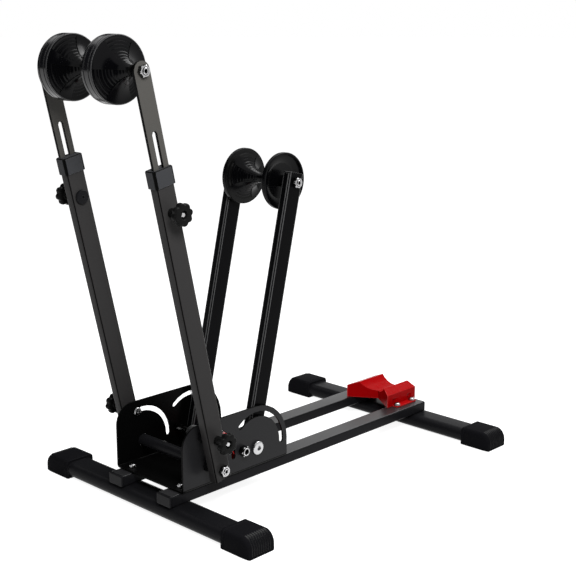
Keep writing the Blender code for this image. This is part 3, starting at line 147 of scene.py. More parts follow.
# Button head bolts
M6_RADIUS = 0.003
RAIL_BOLT_HEAD_RADIUS = 0.0055
RAIL_BOLT_HEAD_HEIGHT = 0.0036
RAIL_BOLT_WASHER = 0.0008
RAIL_BOLT_WASHER_RIM = 0.0007
DOME_SIDES = 48
DOME_STEPS = 8
DOME_EDGE = 0.0003
SOCKET_RADIUS = 0.0019
SOCKET_DEPTH = 0.0018
SOCKET_LAND = 0.0008

# Shoulder bolts of the short arms
SHOULDER_RADIUS = 0.005
SHOULDER_HEAD_RADIUS = 0.0095
SHOULDER_HEAD_HEIGHT = 0.0045
SHOULDER_HEAD_ROUND = (0.0020, 0.0036)  # along and in
SHOULDER_HEAD_STEPS = 6
SHOULDER_SOCKET_RADII = (0.0036, 0.0031, 0.0030)
SHOULDER_SOCKET_DEPTHS = (0.0004, 0.0028)

# Bolts of the star knobs: head radius and height
SLOT_BOLT_HEAD = (0.006, 0.0031)
HEIGHT_BOLT_HEAD = (0.0095, 0.0035)
KNOB_BOLT_HEAD_ROUND = 0.0014
KNOB_BOLT_HEAD_STEPS = 4
KNOB_BOLT_SOCKET_RADII = (0.0018, 0.0020)
KNOB_BOLT_SOCKET_DEPTH = 0.0016
KNOB_BOLT_TIP_CHAMFER = (0.0005, 0.0006)  # along and in

# Star knobs
KNOB_RADIUS = 0.0146
KNOB_FACE_RADIUS = 0.0122
KNOB_LOBES = 8
KNOB_LOBE_DEPTH = 0.0021
KNOB_LOBE_FLATNESS = 1.6
KNOB_BOSS_RADIUS = 0.006
KNOB_BOSS_CHAMFER = 0.0004
KNOB_BOSS_FLARE = (0.0012, 0.001)  # along and out
KNOB_GRIP = 0.0145  # where the lobed grip starts, from the arm
KNOB_THICKNESS = 0.009
KNOB_ROUND = 0.0032
KNOB_ROUND_STEPS = 6
KNOB_RECESS_RADIUS = 0.005
KNOB_RECESS_DEPTH = 0.004
KNOB_RECESS_DRAFT = 0.0002
KNOB_RECESS_STEP = 0.0005
KNOB_RECESS_LAND = 0.0003
KNOB_RECESS_LIP = 0.0004
KNOB_STEPS_PER_LOBE = 16

# Rollers
TALL_ROLLER_RADIUS = 0.0405
SHORT_ROLLER_RADIUS = 0.039
NECK_RADIUS = 0.0065
NECK_STEP = 0.0002
TALL_RIM = (0.0345, 0.0525)  # inner and outer ends of the rim, from the middle
TALL_NECK_Y = 0.082
HUB_CHAMFER = 0.0006
SHORT_RIM = (0.035, 0.0415)
FLARE_STEPS = 72
FLARE_DROP = 0.0012  # from the rim's radius down to the flare's edge
RIB_COUNT = 10
RIB_DEPTH = 0.0011
RIB_SLOPE = 1.6
RIB_REACH = (0.10, 0.97)  # part of the flare's length that carries ribs
OUTER_SECTORS = (3, 0.52, math.radians(45))  # how many, ribbed share, where the first starts
INNER_SECTORS = (4, 0.69, math.radians(69))
SHORT_SECTORS = (4, 0.69, math.radians(62))
ROLLER_TURN_STEPS = 180
RIM_SIDES = 144
HUB_SIDES = 48
RIM_ROUND = 0.0010
RIM_ROUND_STEPS = 4
RIM_GROOVE_DEPTH = 0.0009
RIM_GROOVE_PLACES = (0.26, 0.74)  # along the rim, as shares of its width
RIM_GROOVE_FLOOR = 0.6  # half the floor's width over the groove's depth
SHORT_SHELL = 0.0025
SHORT_BACK_STEPS = 24
SHORT_BACK_RADIUS = 0.0105  # the hollow back starts outside this
SHORT_GROOVE_START = 0.0026  # from the rim's inner end
SHORT_GROOVE_DEPTH = 0.0006
SHORT_GROOVE_HALF = 0.0004
SHORT_HUB_RADIUS = 0.008

# Return spring
SPRING_CURLS = 18
SPRING_PITCH = 0.004
SPRING_COIL_RADIUS = 0.0093
SPRING_WIRE_RADIUS = 0.0017
SPRING_WIRE_SIDES = 12
CURL_STEPS = 40

# Fold hook: a bent rod with an eye
HOOK_ROD_RADIUS = 0.0021
HOOK_ROD_SIDES = 20
HOOK_REACH = 0.079  # of its cross bend, up the short arm
HOOK_FOOT = 0.0055
HOOK_TIP_Y = 0.071
HOOK_TIP_LENGTH = 0.012
HOOK_BEND = 0.003
HOOK_BEND_STEPS = 10
HOOK_EYE_RADIUS = 0.0044
HOOK_EYE_WIDTH = 0.0020  # half of the eye's width, and of its thickness
HOOK_EYE_THICKNESS = 0.0011
HOOK_EYE_STEPS = 16
HOOK_EYE_SIDES = 48

# Foot caps
CAP_LENGTH = 0.051
CAP_DEPTH = 0.0466
CAP_HEIGHT = 0.027
CAP_SOLE_ROUND = 0.002
CAP_TOP_ROUND = 0.006
CAP_CORNER_STEPS = 8
CAP_END_ROUND = 0.013
CAP_END_DRAW = 0.15
CAP_END_STEPS = 16
CAP_MOUTH = ((0.0, 0.0010), (0.0006, 0.0006), (0.0014, 0.0))  # along and in
CAP_GROOVE = (0.0055, 0.0071)  # where it starts and ends along the cap
CAP_GROOVE_DEPTH = 0.0005
CAP_RIBS = 9
CAP_RIB_DEPTH = 0.0009
CAP_RIB_MARGIN = 0.008  # from the cap's sides to the outermost ribs
CAP_RIB_HALF = 0.0010
CAP_RIB_CREST = 0.00045
CAP_RIB_ROOT = 0.0022
CAP_RIB_FOOT = ((0.0004, 0.0036), (0.0, 0.0046))  # from the cap's end, and its height
CAP_RIB_RUNOUT = (0.0015, 0.0006)  # along the top and down

# Finishes
NOISE_RANGE = (0.3, 0.7)  # what a noise spans for the most part
# The edge mask paints lines along edges: painted highlights where an edge colour is paler, painted
# dark reflection lines where it is darker
EDGE_SAMPLES = 6
EDGE_SHADES = (0.45, 0.85)  # shading of an edge, and of a flat
METAL_EDGE_WIDTH = 0.0011
PLASTIC_EDGE_WIDTH = 0.0008
PAD_EDGE_WIDTH = 0.0020
POWDER_COATS = {  # colour, colour of its edges (a painted highlight line where paler, a painted dark line where darker), specular level
    "base_powder": ((0.007, 0.007, 0.008), (0.004, 0.004, 0.004), 0.04),
    # painted light: a paler, glossier copy of the rail paint for the rails' top and bottom faces
    "top_powder": ((0.013, 0.013, 0.014), (0.004, 0.004, 0.004), 0.40),
    "plate_powder": ((0.014, 0.014, 0.015), (0.008, 0.008, 0.008), 0.09),
    "arm_powder": ((0.027, 0.026, 0.026), (0.010, 0.010, 0.010), 0.06),
    "short_powder": ((0.0015, 0.0015, 0.0018), (0.010, 0.010, 0.010), 0.03),
    "bar_powder": ((0.058, 0.056, 0.052), (0.020, 0.020, 0.020), 0.08),
    # painted shade: black for dark reflection lines on arm and sleeve corners, bar rims and the
    # bracket's inside
    "black_edge": ((0.0015, 0.0015, 0.0015), (0.002, 0.002, 0.002), 0.03),
    # painted highlight: pale lines beside the short arms' rounded corners
    "pale_edge": ((0.060, 0.060, 0.061), (0.10, 0.10, 0.10), 0.10),
}
PLASTICS = {  # the same, with paler edges that paint highlight lines, and the least and most roughness
    "plastic": ((0.006, 0.006, 0.007), (0.04, 0.04, 0.04), 0.06, (0.28, 0.38)),
    "knob_plastic": ((0.005, 0.005, 0.005), (0.04, 0.04, 0.04), 0.04, (0.22, 0.32)),
    "cap_plastic": ((0.006, 0.006, 0.007), (0.04, 0.04, 0.04), 0.004, (0.42, 0.52)),
    "sleeve_plastic": ((0.034, 0.035, 0.038), (0.16, 0.16, 0.17), 0.06, (0.34, 0.44)),
    "roller_plastic": ((0.0010, 0.0010, 0.0013), (0.003, 0.003, 0.003), 0.10, (0.16, 0.24)),
    "rim_plastic": ((0.004, 0.004, 0.005), (0.06, 0.06, 0.06), 0.42, (0.14, 0.22)),
}
ZINCS = {  # darkest and palest colour
    "zinc": ((0.34, 0.34, 0.35), (0.55, 0.55, 0.55)),
    # painted shade: a darker copy of the zinc for the flanks and bores of nuts and rod heads
    "shaded_zinc_flank": ((0.05, 0.05, 0.05), (0.12, 0.12, 0.12)),
}
RED_SKIN = ((0.28, 0.0003, 0.0010), (0.36, 0.0004, 0.0016))
RED_EDGE_HIGHLIGHT = (0.14, 0.02, 0.02)  # painted highlight, added at the edges
BLACK = (0.0, 0.0, 0.0)
WHITE = (1.0, 1.0, 1.0, 1.0)
WIRE_COLOURS = ((0.014, 0.014, 0.015), (0.03, 0.03, 0.03))
POWDER_CLOUD = (9.0, 3.0)  # noises: waves per metre and detail
POWDER_PEEL = (1500.0, 2.0)
POWDER_GRIT = (5200.0, 1.0)
PLASTIC_CLOUD = (14.0, 3.0)
PLASTIC_GRAIN = (3200.0, 2.0)
ZINC_CLOUD = (160.0, 4.0)
ZINC_MARKS = (2600.0, 2.0)
RED_CLOUD = (30.0, 3.0)
RED_GRAIN = (1900.0, 2.0)
WIRE_CLOUD = (220.0, 3.0)
POWDER_ROUGHNESS = (0.27, 0.37)  # least and most
ZINC_ROUGHNESS = (0.14, 0.26)
RED_ROUGHNESS = (0.20, 0.30)
WIRE_ROUGHNESS = (0.26, 0.38)
RED_LEVEL = 0.02
WIRE_METALLIC = 0.35
PEEL_BUMP = (0.00005, 0.25)  # depth and strength
GRIT_BUMP = (0.00003, 0.25)
PLASTIC_BUMP = (0.00005, 0.3)
ZINC_BUMP = (0.00002, 0.2)
RED_CLOUD_BUMP = (0.0002, 0.1)
RED_GRAIN_BUMP = (0.00005, 0.1)
WIRE_BUMP = (0.00005, 0.3)

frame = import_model()


def joint_place(name):
    """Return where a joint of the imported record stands."""
    for joint in frame["joints"]:
        if joint["name"] == name:
            return Vector(joint["pos_m"])
    raise KeyError(name)


def leaning_frame(origin, up):
    """Return the matrix of an arm: its origin on the pivot and Z along the arm."""
    z = up.normalized()
    y = Vector((0.0, 1.0, 0.0))
    x = y.cross(z)
    return Matrix.Translation(origin) @ Matrix((x, y, z)).transposed().to_4x4()


def on_middle(place):
    """Drop a point onto the stand's middle plane."""
    return Vector((place.x, 0.0, place.z))


tall_pivot = on_middle(joint_place("tall_arms_tilt"))
short_pivot = on_middle(joint_place("short_arms_tilt"))
tall_axle = on_middle(joint_place("tall_roller_left_spin"))
short_axle = on_middle(joint_place("short_roller_left_spin"))
HERE = Matrix.Identity(4)
TALL_BASE = Matrix.Translation(tall_pivot)
SPRING_BASE = Matrix.Translation(on_middle(sum(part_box("spring_shaft"), Vector()) / 2))
TALL = leaning_frame(tall_pivot, tall_axle - tall_pivot)
SHORT = leaning_frame(short_pivot, short_axle - short_pivot)


def up_arm(arm, reach, y=0.0):
    """Return a frame at a distance up an arm and a distance across the stand."""
    return arm @ Matrix.Translation((0.0, y, reach))


TALL_TOP = up_arm(TALL, TALL_AXLE_REACH)
SHORT_TOP = up_arm(SHORT, SHORT_AXLE_REACH)


# Materials
def node(tree, kind, **inputs):
    """Add a shader node and set its named sockets."""
    made = tree.nodes.new(kind)
    for name, value in inputs.items():
        made.inputs[name.replace("_", " ")].default_value = value
    return made


def noise(tree, scale, detail):
    """Return a noise that keeps to the piece; scale is in waves per metre."""
    place = tree.nodes.new("ShaderNodeTexCoord")
    made = node(tree, "ShaderNodeTexNoise", Scale=scale, Detail=detail)
    tree.links.new(place.outputs["Object"], made.inputs["Vector"])
    return made.outputs["Fac"]


def ramp(tree, source, low, high, from_low, from_high):
    """Map a value from one range onto another."""
    made = node(tree, "ShaderNodeMapRange", From_Min=from_low, From_Max=from_high,
                To_Min=low, To_Max=high)
    tree.links.new(source, made.inputs["Value"])
    return made.outputs["Result"]


def mix_colour(tree, amount, first, second):
    """Blend two colours by a 0 to 1 value."""
    made = tree.nodes.new("ShaderNodeMix")
    made.data_type = "RGBA"
    made.inputs["A"].default_value = (*first, 1.0)
    made.inputs["B"].default_value = (*second, 1.0)
    tree.links.new(amount, made.inputs["Factor"])
    return made.outputs["Result"]


def add_surface(tree, shader, colour, cloud, roughness):
    """Link a colour to the shader, and a roughness that follows a noise."""
    tree.links.new(colour, shader.inputs["Base Color"])
    rough = ramp(tree, cloud, *roughness, *NOISE_RANGE)
    tree.links.new(rough, shader.inputs["Roughness"])


def add_bumps(tree, shader, *layers):
    """Chain bumps of (height socket, (depth, strength)) onto the shader."""
    last = None
    for height, (depth, strength) in layers:
        bump = node(tree, "ShaderNodeBump", Distance=depth, Strength=strength)
        tree.links.new(height, bump.inputs["Height"])
        if last:
            tree.links.new(last, bump.inputs["Normal"])
        last = bump.outputs["Normal"]
    tree.links.new(last, shader.inputs["Normal"])


def painted_edge_mask(tree, width):
    """Return 1 at outer edges narrower than a width, 0 on flats, for the painted highlight lines
    and painted dark lines along edges.
    """
    shade = node(tree, "ShaderNodeAmbientOcclusion", Distance=width)
    shade.inside = True
    shade.samples = EDGE_SAMPLES
    return ramp(tree, shade.outputs["AO"], 1.0, 0.0, *EDGE_SHADES)


def start_material(name, metallic=0.0):
    """Return a new material with its node tree and shader."""
    material = bpy.data.materials.new(name)
    material.use_nodes = True
    tree = material.node_tree
    shader = tree.nodes["Principled BSDF"]
    shader.inputs["Metallic"].default_value = metallic
    return material, tree, shader


def powder_coat(name, base, edge, level):
    """Black powder coat on steel: fine orange peel, with painted lines along its edges, a
    highlight where the edge colour is paler and shade where it is darker.
    """
    material, tree, shader = start_material(name)
    cloud = noise(tree, *POWDER_CLOUD)
    peel = noise(tree, *POWDER_PEEL)
    grit = noise(tree, *POWDER_GRIT)
    # painted edge lines: a highlight for a paler edge colour, shade for a darker one
    colour = mix_colour(tree, painted_edge_mask(tree, METAL_EDGE_WIDTH), base, edge)
    add_surface(tree, shader, colour, cloud, POWDER_ROUGHNESS)
    shader.inputs["Specular IOR Level"].default_value = level
    add_bumps(tree, shader, (peel, PEEL_BUMP), (grit, GRIT_BUMP))
    return material


def moulded_plastic(name, base, edge, level, roughness):
    """Black moulded plastic with a fine satin grain and painted highlight lines along its edges;
    roughness is its least and most.
    """
    material, tree, shader = start_material(name)
    cloud = noise(tree, *PLASTIC_CLOUD)
    grain = noise(tree, *PLASTIC_GRAIN)
    # painted highlight: the paler edge colour along the edges
    colour = mix_colour(tree, painted_edge_mask(tree, PLASTIC_EDGE_WIDTH), base, edge)
    add_surface(tree, shader, colour, cloud, roughness)
    shader.inputs["Specular IOR Level"].default_value = level
    add_bumps(tree, shader, (grain, PLASTIC_BUMP))
    return material


def zinc_plate(name, low, high):
    """Zinc plate with faint marks and cloudy patches."""
    material, tree, shader = start_material(name, metallic=1.0)
    cloud = noise(tree, *ZINC_CLOUD)
    marks = noise(tree, *ZINC_MARKS)
    add_surface(tree, shader, mix_colour(tree, cloud, low, high), cloud, ZINC_ROUGHNESS)
    add_bumps(tree, shader, (marks, ZINC_BUMP))
    return material


def red_plastic():
    """Red moulded pad: satin skin with a soft leathery ripple and a painted highlight along its
    edges.
    """
    material, tree, shader = start_material("red_plastic")
    cloud = noise(tree, *RED_CLOUD)
    grain = noise(tree, *RED_GRAIN)
    body = mix_colour(tree, cloud, *RED_SKIN)
    # painted highlight: a paler red added along the edges, standing in for glints on the ridges
    rim = mix_colour(tree, painted_edge_mask(tree, PAD_EDGE_WIDTH), BLACK, RED_EDGE_HIGHLIGHT)
    colour = tree.nodes.new("ShaderNodeMix")
    colour.data_type = "RGBA"
    colour.blend_type = "ADD"
    colour.inputs["Factor"].default_value = 1.0
    tree.links.new(body, colour.inputs["A"])
    tree.links.new(rim, colour.inputs["B"])
    add_surface(tree, shader, colour.outputs["Result"], cloud, RED_ROUGHNESS)
    shader.inputs["Specular IOR Level"].default_value = RED_LEVEL
    add_bumps(tree, shader, (cloud, RED_CLOUD_BUMP), (grain, RED_GRAIN_BUMP))
    return material


def spring_steel():
    """Black oiled spring wire."""
    material, tree, shader = start_material("spring_steel", WIRE_METALLIC)
    cloud = noise(tree, *WIRE_CLOUD)
    add_surface(tree, shader, mix_colour(tree, cloud, *WIRE_COLOURS), cloud, WIRE_ROUGHNESS)
    add_bumps(tree, shader, (cloud, WIRE_BUMP))
    return material


def make_finishes():
    """Return each finish with the slot that it belongs to, by name."""
    finishes = {}
    for name, values in POWDER_COATS.items():
        finishes[name] = (powder_coat(name, *values), "powder_black")
    for name, values in PLASTICS.items():
        finishes[name] = (moulded_plastic(name, *values), "plastic_black")
    for name, values in ZINCS.items():
        finishes[name] = (zinc_plate(name, *values), "zinc")
    finishes["red"] = (red_plastic(), "pad_red")
    finishes["spring_steel"] = (spring_steel(), "spring_black")
    return finishes


FINISHES = make_finishes()


# Mesh tools
def put_in_scene(name, data):
    """Add an object with this data to the scene."""
    made = bpy.data.objects.new(name, data)
    bpy.context.scene.collection.objects.link(made)
    return made


def body_of_node(name):
    """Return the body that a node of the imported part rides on."""
    return frame["nodes"][name]["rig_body"]


def add_piece(name, maker, place, nodes, *finishes, sharp=SHARP_ANGLE):
    """Turn a bmesh into a piece at a place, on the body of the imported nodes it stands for."""
    bmesh.ops.recalc_face_normals(maker, faces=maker.faces)
    mesh = bpy.data.meshes.new(name)
    bmesh.ops.transform(maker, matrix=place, verts=maker.verts)
    maker.to_mesh(mesh)
    maker.free()
    mesh.shade_smooth()
    mesh.set_sharp_from_angle(angle=sharp)
    for finish in finishes:
        mesh.materials.append(FINISHES[finish][0])
    piece = put_in_scene(name, mesh)
    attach(piece, body_of_node(nodes[0]))
    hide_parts(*nodes)
    return piece


def flatness(face, arm, axes=(0, 1, 2)):
    """How far a face looks along the nearest of an arm's axes, from 0 to 1."""
    normal = arm.to_3x3().inverted() @ face.normal
    return max(abs(normal[axis]) for axis in axes)


def middle_of_corner(face, arm):
    """1 for the middle faces of an arm's rounded corners."""
    return int(flatness(face, arm) < HALF_FLAT)


def sides_of_corner(face, arm):
    """1 for the outer faces of an arm's rounded corners."""
    return int(HALF_FLAT < flatness(face, arm) < FLAT_ENOUGH)


def whole_corner(face, arm):
    """1 for all faces of an arm's rounded corners."""
    return int(flatness(face, arm) < FLAT_ENOUGH)


def bar_rim(face, arm):
    """1 for faces other than a bar's two broad ones."""
    return int(flatness(face, arm, (1,)) < FLAT_ENOUGH)


def level_face(face, _):
    """1 for faces that look up or down, which take the painted lit copy on the rails."""
    return int(flatness(face, HERE, (2,)) > HALF_FLAT)


def bracket_inside(face, _):
    """1 for the bracket's rims and for the faces that look into it."""
    inward = face.normal.y * face.calc_center_median().y < 0.0
    return int(inward or flatness(face, HERE, (1,)) < FLAT_ENOUGH)


def soften(name, finishes, edge, steps=EDGE_STEPS, choose=None, arm=HERE):
    """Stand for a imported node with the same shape, its sharp edges rounded.

    choose tells which of the finishes a face has.
    """
    maker = bmesh.new()
    maker.from_mesh(frame["nodes"][name].data)
    bmesh.ops.remove_doubles(maker, verts=maker.verts, dist=WELD_DISTANCE)
    bmesh.ops.dissolve_limit(
        maker, angle_limit=FLAT_ANGLE, verts=maker.verts, edges=maker.edges,
    )
    sharp = [item for item in maker.edges
             if len(item.link_faces) == 2 and item.calc_face_angle(0.0) > SHARP_ANGLE]
    bmesh.ops.bevel(
        maker, geom=sharp, offset=edge, segments=steps, profile=0.5,
        affect="EDGES", clamp_overlap=True,
    )
    for face in maker.faces:
        face.normal_update()
        face.material_index = choose(face, arm) if choose else 0
    piece = add_piece(f"{name}_shell", maker, HERE, [name], *finishes, sharp=SHELL_SHARP_ANGLE)
    weighted = piece.modifiers.new("weighted", "WEIGHTED_NORMAL")
    weighted.keep_sharp = True
    weighted.weight = FACE_WEIGHT


def along_y(along, first, second):
    """A point from its place along Y and its X and Z."""
    return Vector((first, along, second))


def along_z(along, first, second):
    """A point from its place along Z and its X and Y."""
    return Vector((first, second, along))


def hexagon(angle):
    """Scale a circle of half the flats to a hexagon."""
    sector = math.radians(60)
    return 1.0 / math.cos(angle % sector - sector / 2)


def skin(maker, rings, closed=False):
    """Join rings of vertices in turn; cap the ends, or join the last ring to the first."""
    pairs = list(zip(rings, rings[1:]))
    if closed:
        pairs.append((rings[-1], rings[0]))
    else:
        maker.faces.new(rings[0])
        maker.faces.new(rings[-1])
    for near, far in pairs:
        for index in range(len(near)):
            maker.faces.new((near[index - 1], near[index], far[index], far[index - 1]))


def turn(profile, sides, axis=along_y, maker=None, closed=True):
    """Turn (along, radius) or (along, radius, shape) steps into a skin."""
    maker = maker or bmesh.new()
    rings = []
    for step in profile:
        along, radius = step[:2]
        shape = step[2] if len(step) > 2 else None
        ring = []
        for index in range(sides):
            angle = 2 * math.pi * index / sides
            reach = radius * (shape(angle) if shape else 1.0)
            spot = axis(along, reach * math.cos(angle), reach * math.sin(angle))
            ring.append(maker.verts.new(spot))
        rings.append(ring)
    skin(maker, rings, closed)
    return maker


def mirrored(profile, side):
    """Return a profile for the left or the right side."""
    return [(side * step[0], *step[1:]) for step in profile]


def quarter(start, end, steps):
    """Return a quarter round between two (along, radius) points, turning outward first."""
    points = []
    for step in range(steps + 1):
        angle = math.pi / 2 * step / steps
        along = start[0] + (end[0] - start[0]) * (1 - math.cos(angle))
        points.append((along, start[1] + (end[1] - start[1]) * math.sin(angle)))
    return points


def neighbours(points, index):
    """Return the points before and after one; an end is its own neighbour."""
    return points[max(index - 1, 0)], points[min(index + 1, len(points) - 1)]


def sweep(points, radius, sides):
    """Run a round wire through points, with closed ends."""
    maker = bmesh.new()
    rings = []
    across = Vector((0.0, 1.0, 0.0))
    for index, point in enumerate(points):
        before, after = neighbours(points, index)
        way = (after - before).normalized()
        if abs(way.dot(across)) > PARALLEL:
            across = Vector((1.0, 0.0, 0.0))
        across = (across - way * across.dot(way)).normalized()
        other = way.cross(across)
        ring = []
        for side in range(sides):
            angle = 2 * math.pi * side / sides
            spot = point + radius * (across * math.cos(angle) + other * math.sin(angle))
            ring.append(maker.verts.new(spot))
        rings.append(ring)
    skin(maker, rings)
    return maker


# Rollers
def flare_curve(start, end, neck, rim, steps):
    """Return a trumpet curve from its neck to its rim as (along, radius)."""
    return quarter((end, rim), (start, neck), steps)[::-1]


def inward_normals(curve):
    """Return, for each step of a flare, the unit direction into the roller's body."""
    normals = []
    for index in range(len(curve)):
        before, after = neighbours(curve, index)
        along, radial = after[0] - before[0], after[1] - before[1]
        length = math.hypot(along, radial)
        normals.append((radial / length * math.copysign(1, along), -abs(along) / length))
    return normals


def stepped(curve):
    """Return a flare's curve cut into terraces, each a shelf that drops away to the next."""
    normals = inward_normals(curve)
    low, high = RIB_REACH
    cut = []
    for index, (point, normal) in enumerate(zip(curve, normals)):
        share = index / (len(curve) - 1)
        depth = 0.0
        if low < share < high:
            phase = (share - low) / (high - low) * RIB_COUNT % 1.0
            depth = RIB_DEPTH * min(1.0, RIB_SLOPE * (1.0 - phase))
        cut.append((point[0] + normal[0] * depth, point[1] + normal[1] * depth))
    return cut


def ribbed_flare(maker, curve, side, count, ribbed_share, start_angle):
    """Add a flare whose sectors are ribbed and smooth in turn."""
    cut = stepped(curve)
    sector = 2 * math.pi / count
    steps = ROLLER_TURN_STEPS // count
    ribbed_steps = round(steps * ribbed_share)
    columns = []
    for index in range(count):
        first = start_angle + sector * index
        for step in range(ribbed_steps + 1):
            columns.append((first + sector * step / steps, cut))
        for step in range(ribbed_steps, steps + 1):
            columns.append((first + sector * step / steps, curve))
    rows = []
    for angle, shape in columns:
        row = []
        for along, radius in shape:
            spot = Vector((radius * math.cos(angle), side * along, radius * math.sin(angle)))
            row.append(maker.verts.new(spot))
        rows.append(row)
    for near, far in zip(rows, rows[1:] + rows[:1]):
        for index in range(len(curve) - 1):
            maker.faces.new((near[index], near[index + 1], far[index + 1], far[index]))


def rim_shoulder(flare_end, inward):
    """Return the rounded shoulder at one end of a rim; inward is the way along the rim."""
    start = (flare_end, TALL_ROLLER_RADIUS - RIM_ROUND)
    return quarter(start, (flare_end + inward * RIM_ROUND, TALL_ROLLER_RADIUS), RIM_ROUND_STEPS)


def rim_band():
    """Return a tall roller's rim: three bands split by two grooves, with rounded shoulders."""
    low, high = TALL_RIM
    radius = TALL_ROLLER_RADIUS
    groove = RIM_GROOVE_DEPTH
    floor = groove * RIM_GROOVE_FLOOR
    section = [(low, radius - FLARE_DROP)] + rim_shoulder(low, 1)
    for share in RIM_GROOVE_PLACES:
        middle = low + (high - low) * share
        section += [(middle - groove, radius), (middle - floor, radius - groove)]
        section += [(middle + floor, radius - groove), (middle + groove, radius)]
    section += reversed(rim_shoulder(high, -1))
    section.append((high, radius - FLARE_DROP))
    return section


def make_tall_roller(word, side):
    """A roller with ribbed trumpet flares on both sides of a grooved rim."""
    low, high = TALL_RIM
    flare_edge = TALL_ROLLER_RADIUS - FLARE_DROP
    maker = bmesh.new()
    inner = flare_curve(FIT / 2, low, NECK_RADIUS, flare_edge, FLARE_STEPS)
    outer = flare_curve(TALL_NECK_Y, high, NECK_RADIUS, flare_edge, FLARE_STEPS)
    ribbed_flare(maker, inner, side, *INNER_SECTORS)
    ribbed_flare(maker, outer, side, *OUTER_SECTORS)
    first_rim_face = len(maker.faces)
    turn(mirrored(rim_band(), side), RIM_SIDES, maker=maker)
    maker.faces.ensure_lookup_table()
    for face in maker.faces[first_rim_face:]:
        face.material_index = 1
    bore = ROD_RADIUS + FIT
    hub_end = BAR_INNER_Y - FIT
    hub = [
        (FIT / 2, bore), (FIT / 2, NECK_RADIUS - NECK_STEP),
        (TALL_NECK_Y, NECK_RADIUS), (hub_end - HUB_CHAMFER, NECK_RADIUS),
        (hub_end, NECK_RADIUS - HUB_CHAMFER), (hub_end, bore),
    ]
    turn(mirrored(hub, side), HUB_SIDES, maker=maker)
    name = f"tall_roller_{word}"
    add_piece(f"{name}_shell", maker, TALL_TOP, [name], "roller_plastic", "rim_plastic",
              sharp=ROLLER_SHARP_ANGLE)


def short_rim():
    """Return a short roller's rim: a rounded shoulder, a groove and a second shoulder."""
    low, high = SHORT_RIM
    radius = SHORT_ROLLER_RADIUS
    shoulder = radius - FLARE_DROP
    groove = low + SHORT_GROOVE_START
    rim = quarter((low, shoulder), (low + RIM_ROUND, radius), RIM_ROUND_STEPS)
    rim += [(groove, radius), (groove + SHORT_GROOVE_HALF, radius - SHORT_GROOVE_DEPTH)]
    rim += [(groove + 2 * SHORT_GROOVE_HALF, radius)]
    rim += reversed(quarter((high, shoulder), (high - RIM_ROUND, radius), RIM_ROUND_STEPS))
    return rim


def make_short_roller(word, side):
    """A disc with a ribbed flare in front and a hollow back round its hub."""
    low, high = SHORT_RIM
    flare_edge = SHORT_ROLLER_RADIUS - FLARE_DROP
    maker = bmesh.new()
    inner = flare_curve(FIT / 2, low, NECK_RADIUS, flare_edge, FLARE_STEPS)
    ribbed_flare(maker, inner, side, *SHORT_SECTORS)
    back = flare_curve(FIT / 2 + SHORT_SHELL, low + SHORT_SHELL, NECK_RADIUS,
                       flare_edge - SHORT_SHELL, SHORT_BACK_STEPS)
    back = [step for step in back if step[1] > SHORT_BACK_RADIUS]
    bore = ROD_RADIUS + FIT
    hub_end = SHORT_ARM_INNER_Y - FIT
    section = short_rim() + [(high, SHORT_ROLLER_RADIUS - SHORT_SHELL)] + list(reversed(back))
    section += [(back[0][0], SHORT_HUB_RADIUS), (high, SHORT_HUB_RADIUS)]
    section += [(hub_end - HUB_CHAMFER, SHORT_HUB_RADIUS)]
    section += [(hub_end, SHORT_HUB_RADIUS - HUB_CHAMFER), (hub_end, bore)]
    section += [(FIT / 2, bore), (FIT / 2, NECK_RADIUS - NECK_STEP)]
    turn(mirrored(section, side), RIM_SIDES, maker=maker, closed=False)
    name = f"short_roller_{word}"
    add_piece(f"{name}_shell", maker, SHORT_TOP, [name], "roller_plastic",
              sharp=ROLLER_SHARP_ANGLE)


# Fasteners
def hex_sides(seat, top, top_share, top_chamfer):
    """Return a hexagon's section from its washer face to its chamfered top."""
    rim = ROD_NUT_FLATS / 2
    return [
        (seat, rim * HEX_SEAT_SHARE), (seat + HEX_SEAT_CHAMFER, rim, hexagon),
        (top - top_chamfer, rim, hexagon), (top, rim * top_share),
    ]


def add_hexagon_piece(name, place, maker):
    """Add a nut or rod with painted shade on its flanks and bores: they take a darker copy of the
    zinc.
    """
    for face in maker.faces:
        face.normal_update()
        face.material_index = int(abs(face.normal.y) < FLANK_LIMIT)
    add_piece(f"{name}_piece", maker, place, [name], "zinc", "shaded_zinc_flank")


def make_nut(name, place, seat, height, bore):
    """A nut on the right, on the outer side of its seat."""
    top = seat + height
    profile = [(seat, bore)] + hex_sides(seat, top, NUT_TOP_SHARE, NUT_TOP_CHAMFER)
    profile += [(top, bore + NUT_LEAD), (top - NUT_LEAD, bore)]
    add_hexagon_piece(name, place, turn(mirrored(profile, RIGHT), FASTENER_SIDES))


def make_rod(name, place, radius, seat, nut_height):
    """A rod across the stand: hexagon head on the left, hollow point past the nut."""
    tip = -(seat + nut_height + ROD_PAST_NUT)
    head = seat + ROD_HEAD_HEIGHT
    bore = radius - ROD_POINT_WALL
    lead_along, lead_out = ROD_POINT_LEAD
    profile = [(tip + ROD_POINT_DEPTH, bore * ROD_POINT_TAPER), (tip + lead_along, bore)]
    profile += [(tip, bore + lead_out), (tip, radius - ROD_POINT_CHAMFER)]
    profile += [(tip + ROD_POINT_CHAMFER, radius), (seat, radius)]
    profile += hex_sides(seat, head, HEAD_TOP_SHARE, HEAD_TOP_CHAMFER)
    profile.append((head, ROD_NUT_FLATS / 2 * HEAD_CENTRE_SHARE))
    add_hexagon_piece(name, place, turn(profile, FASTENER_SIDES, closed=False))


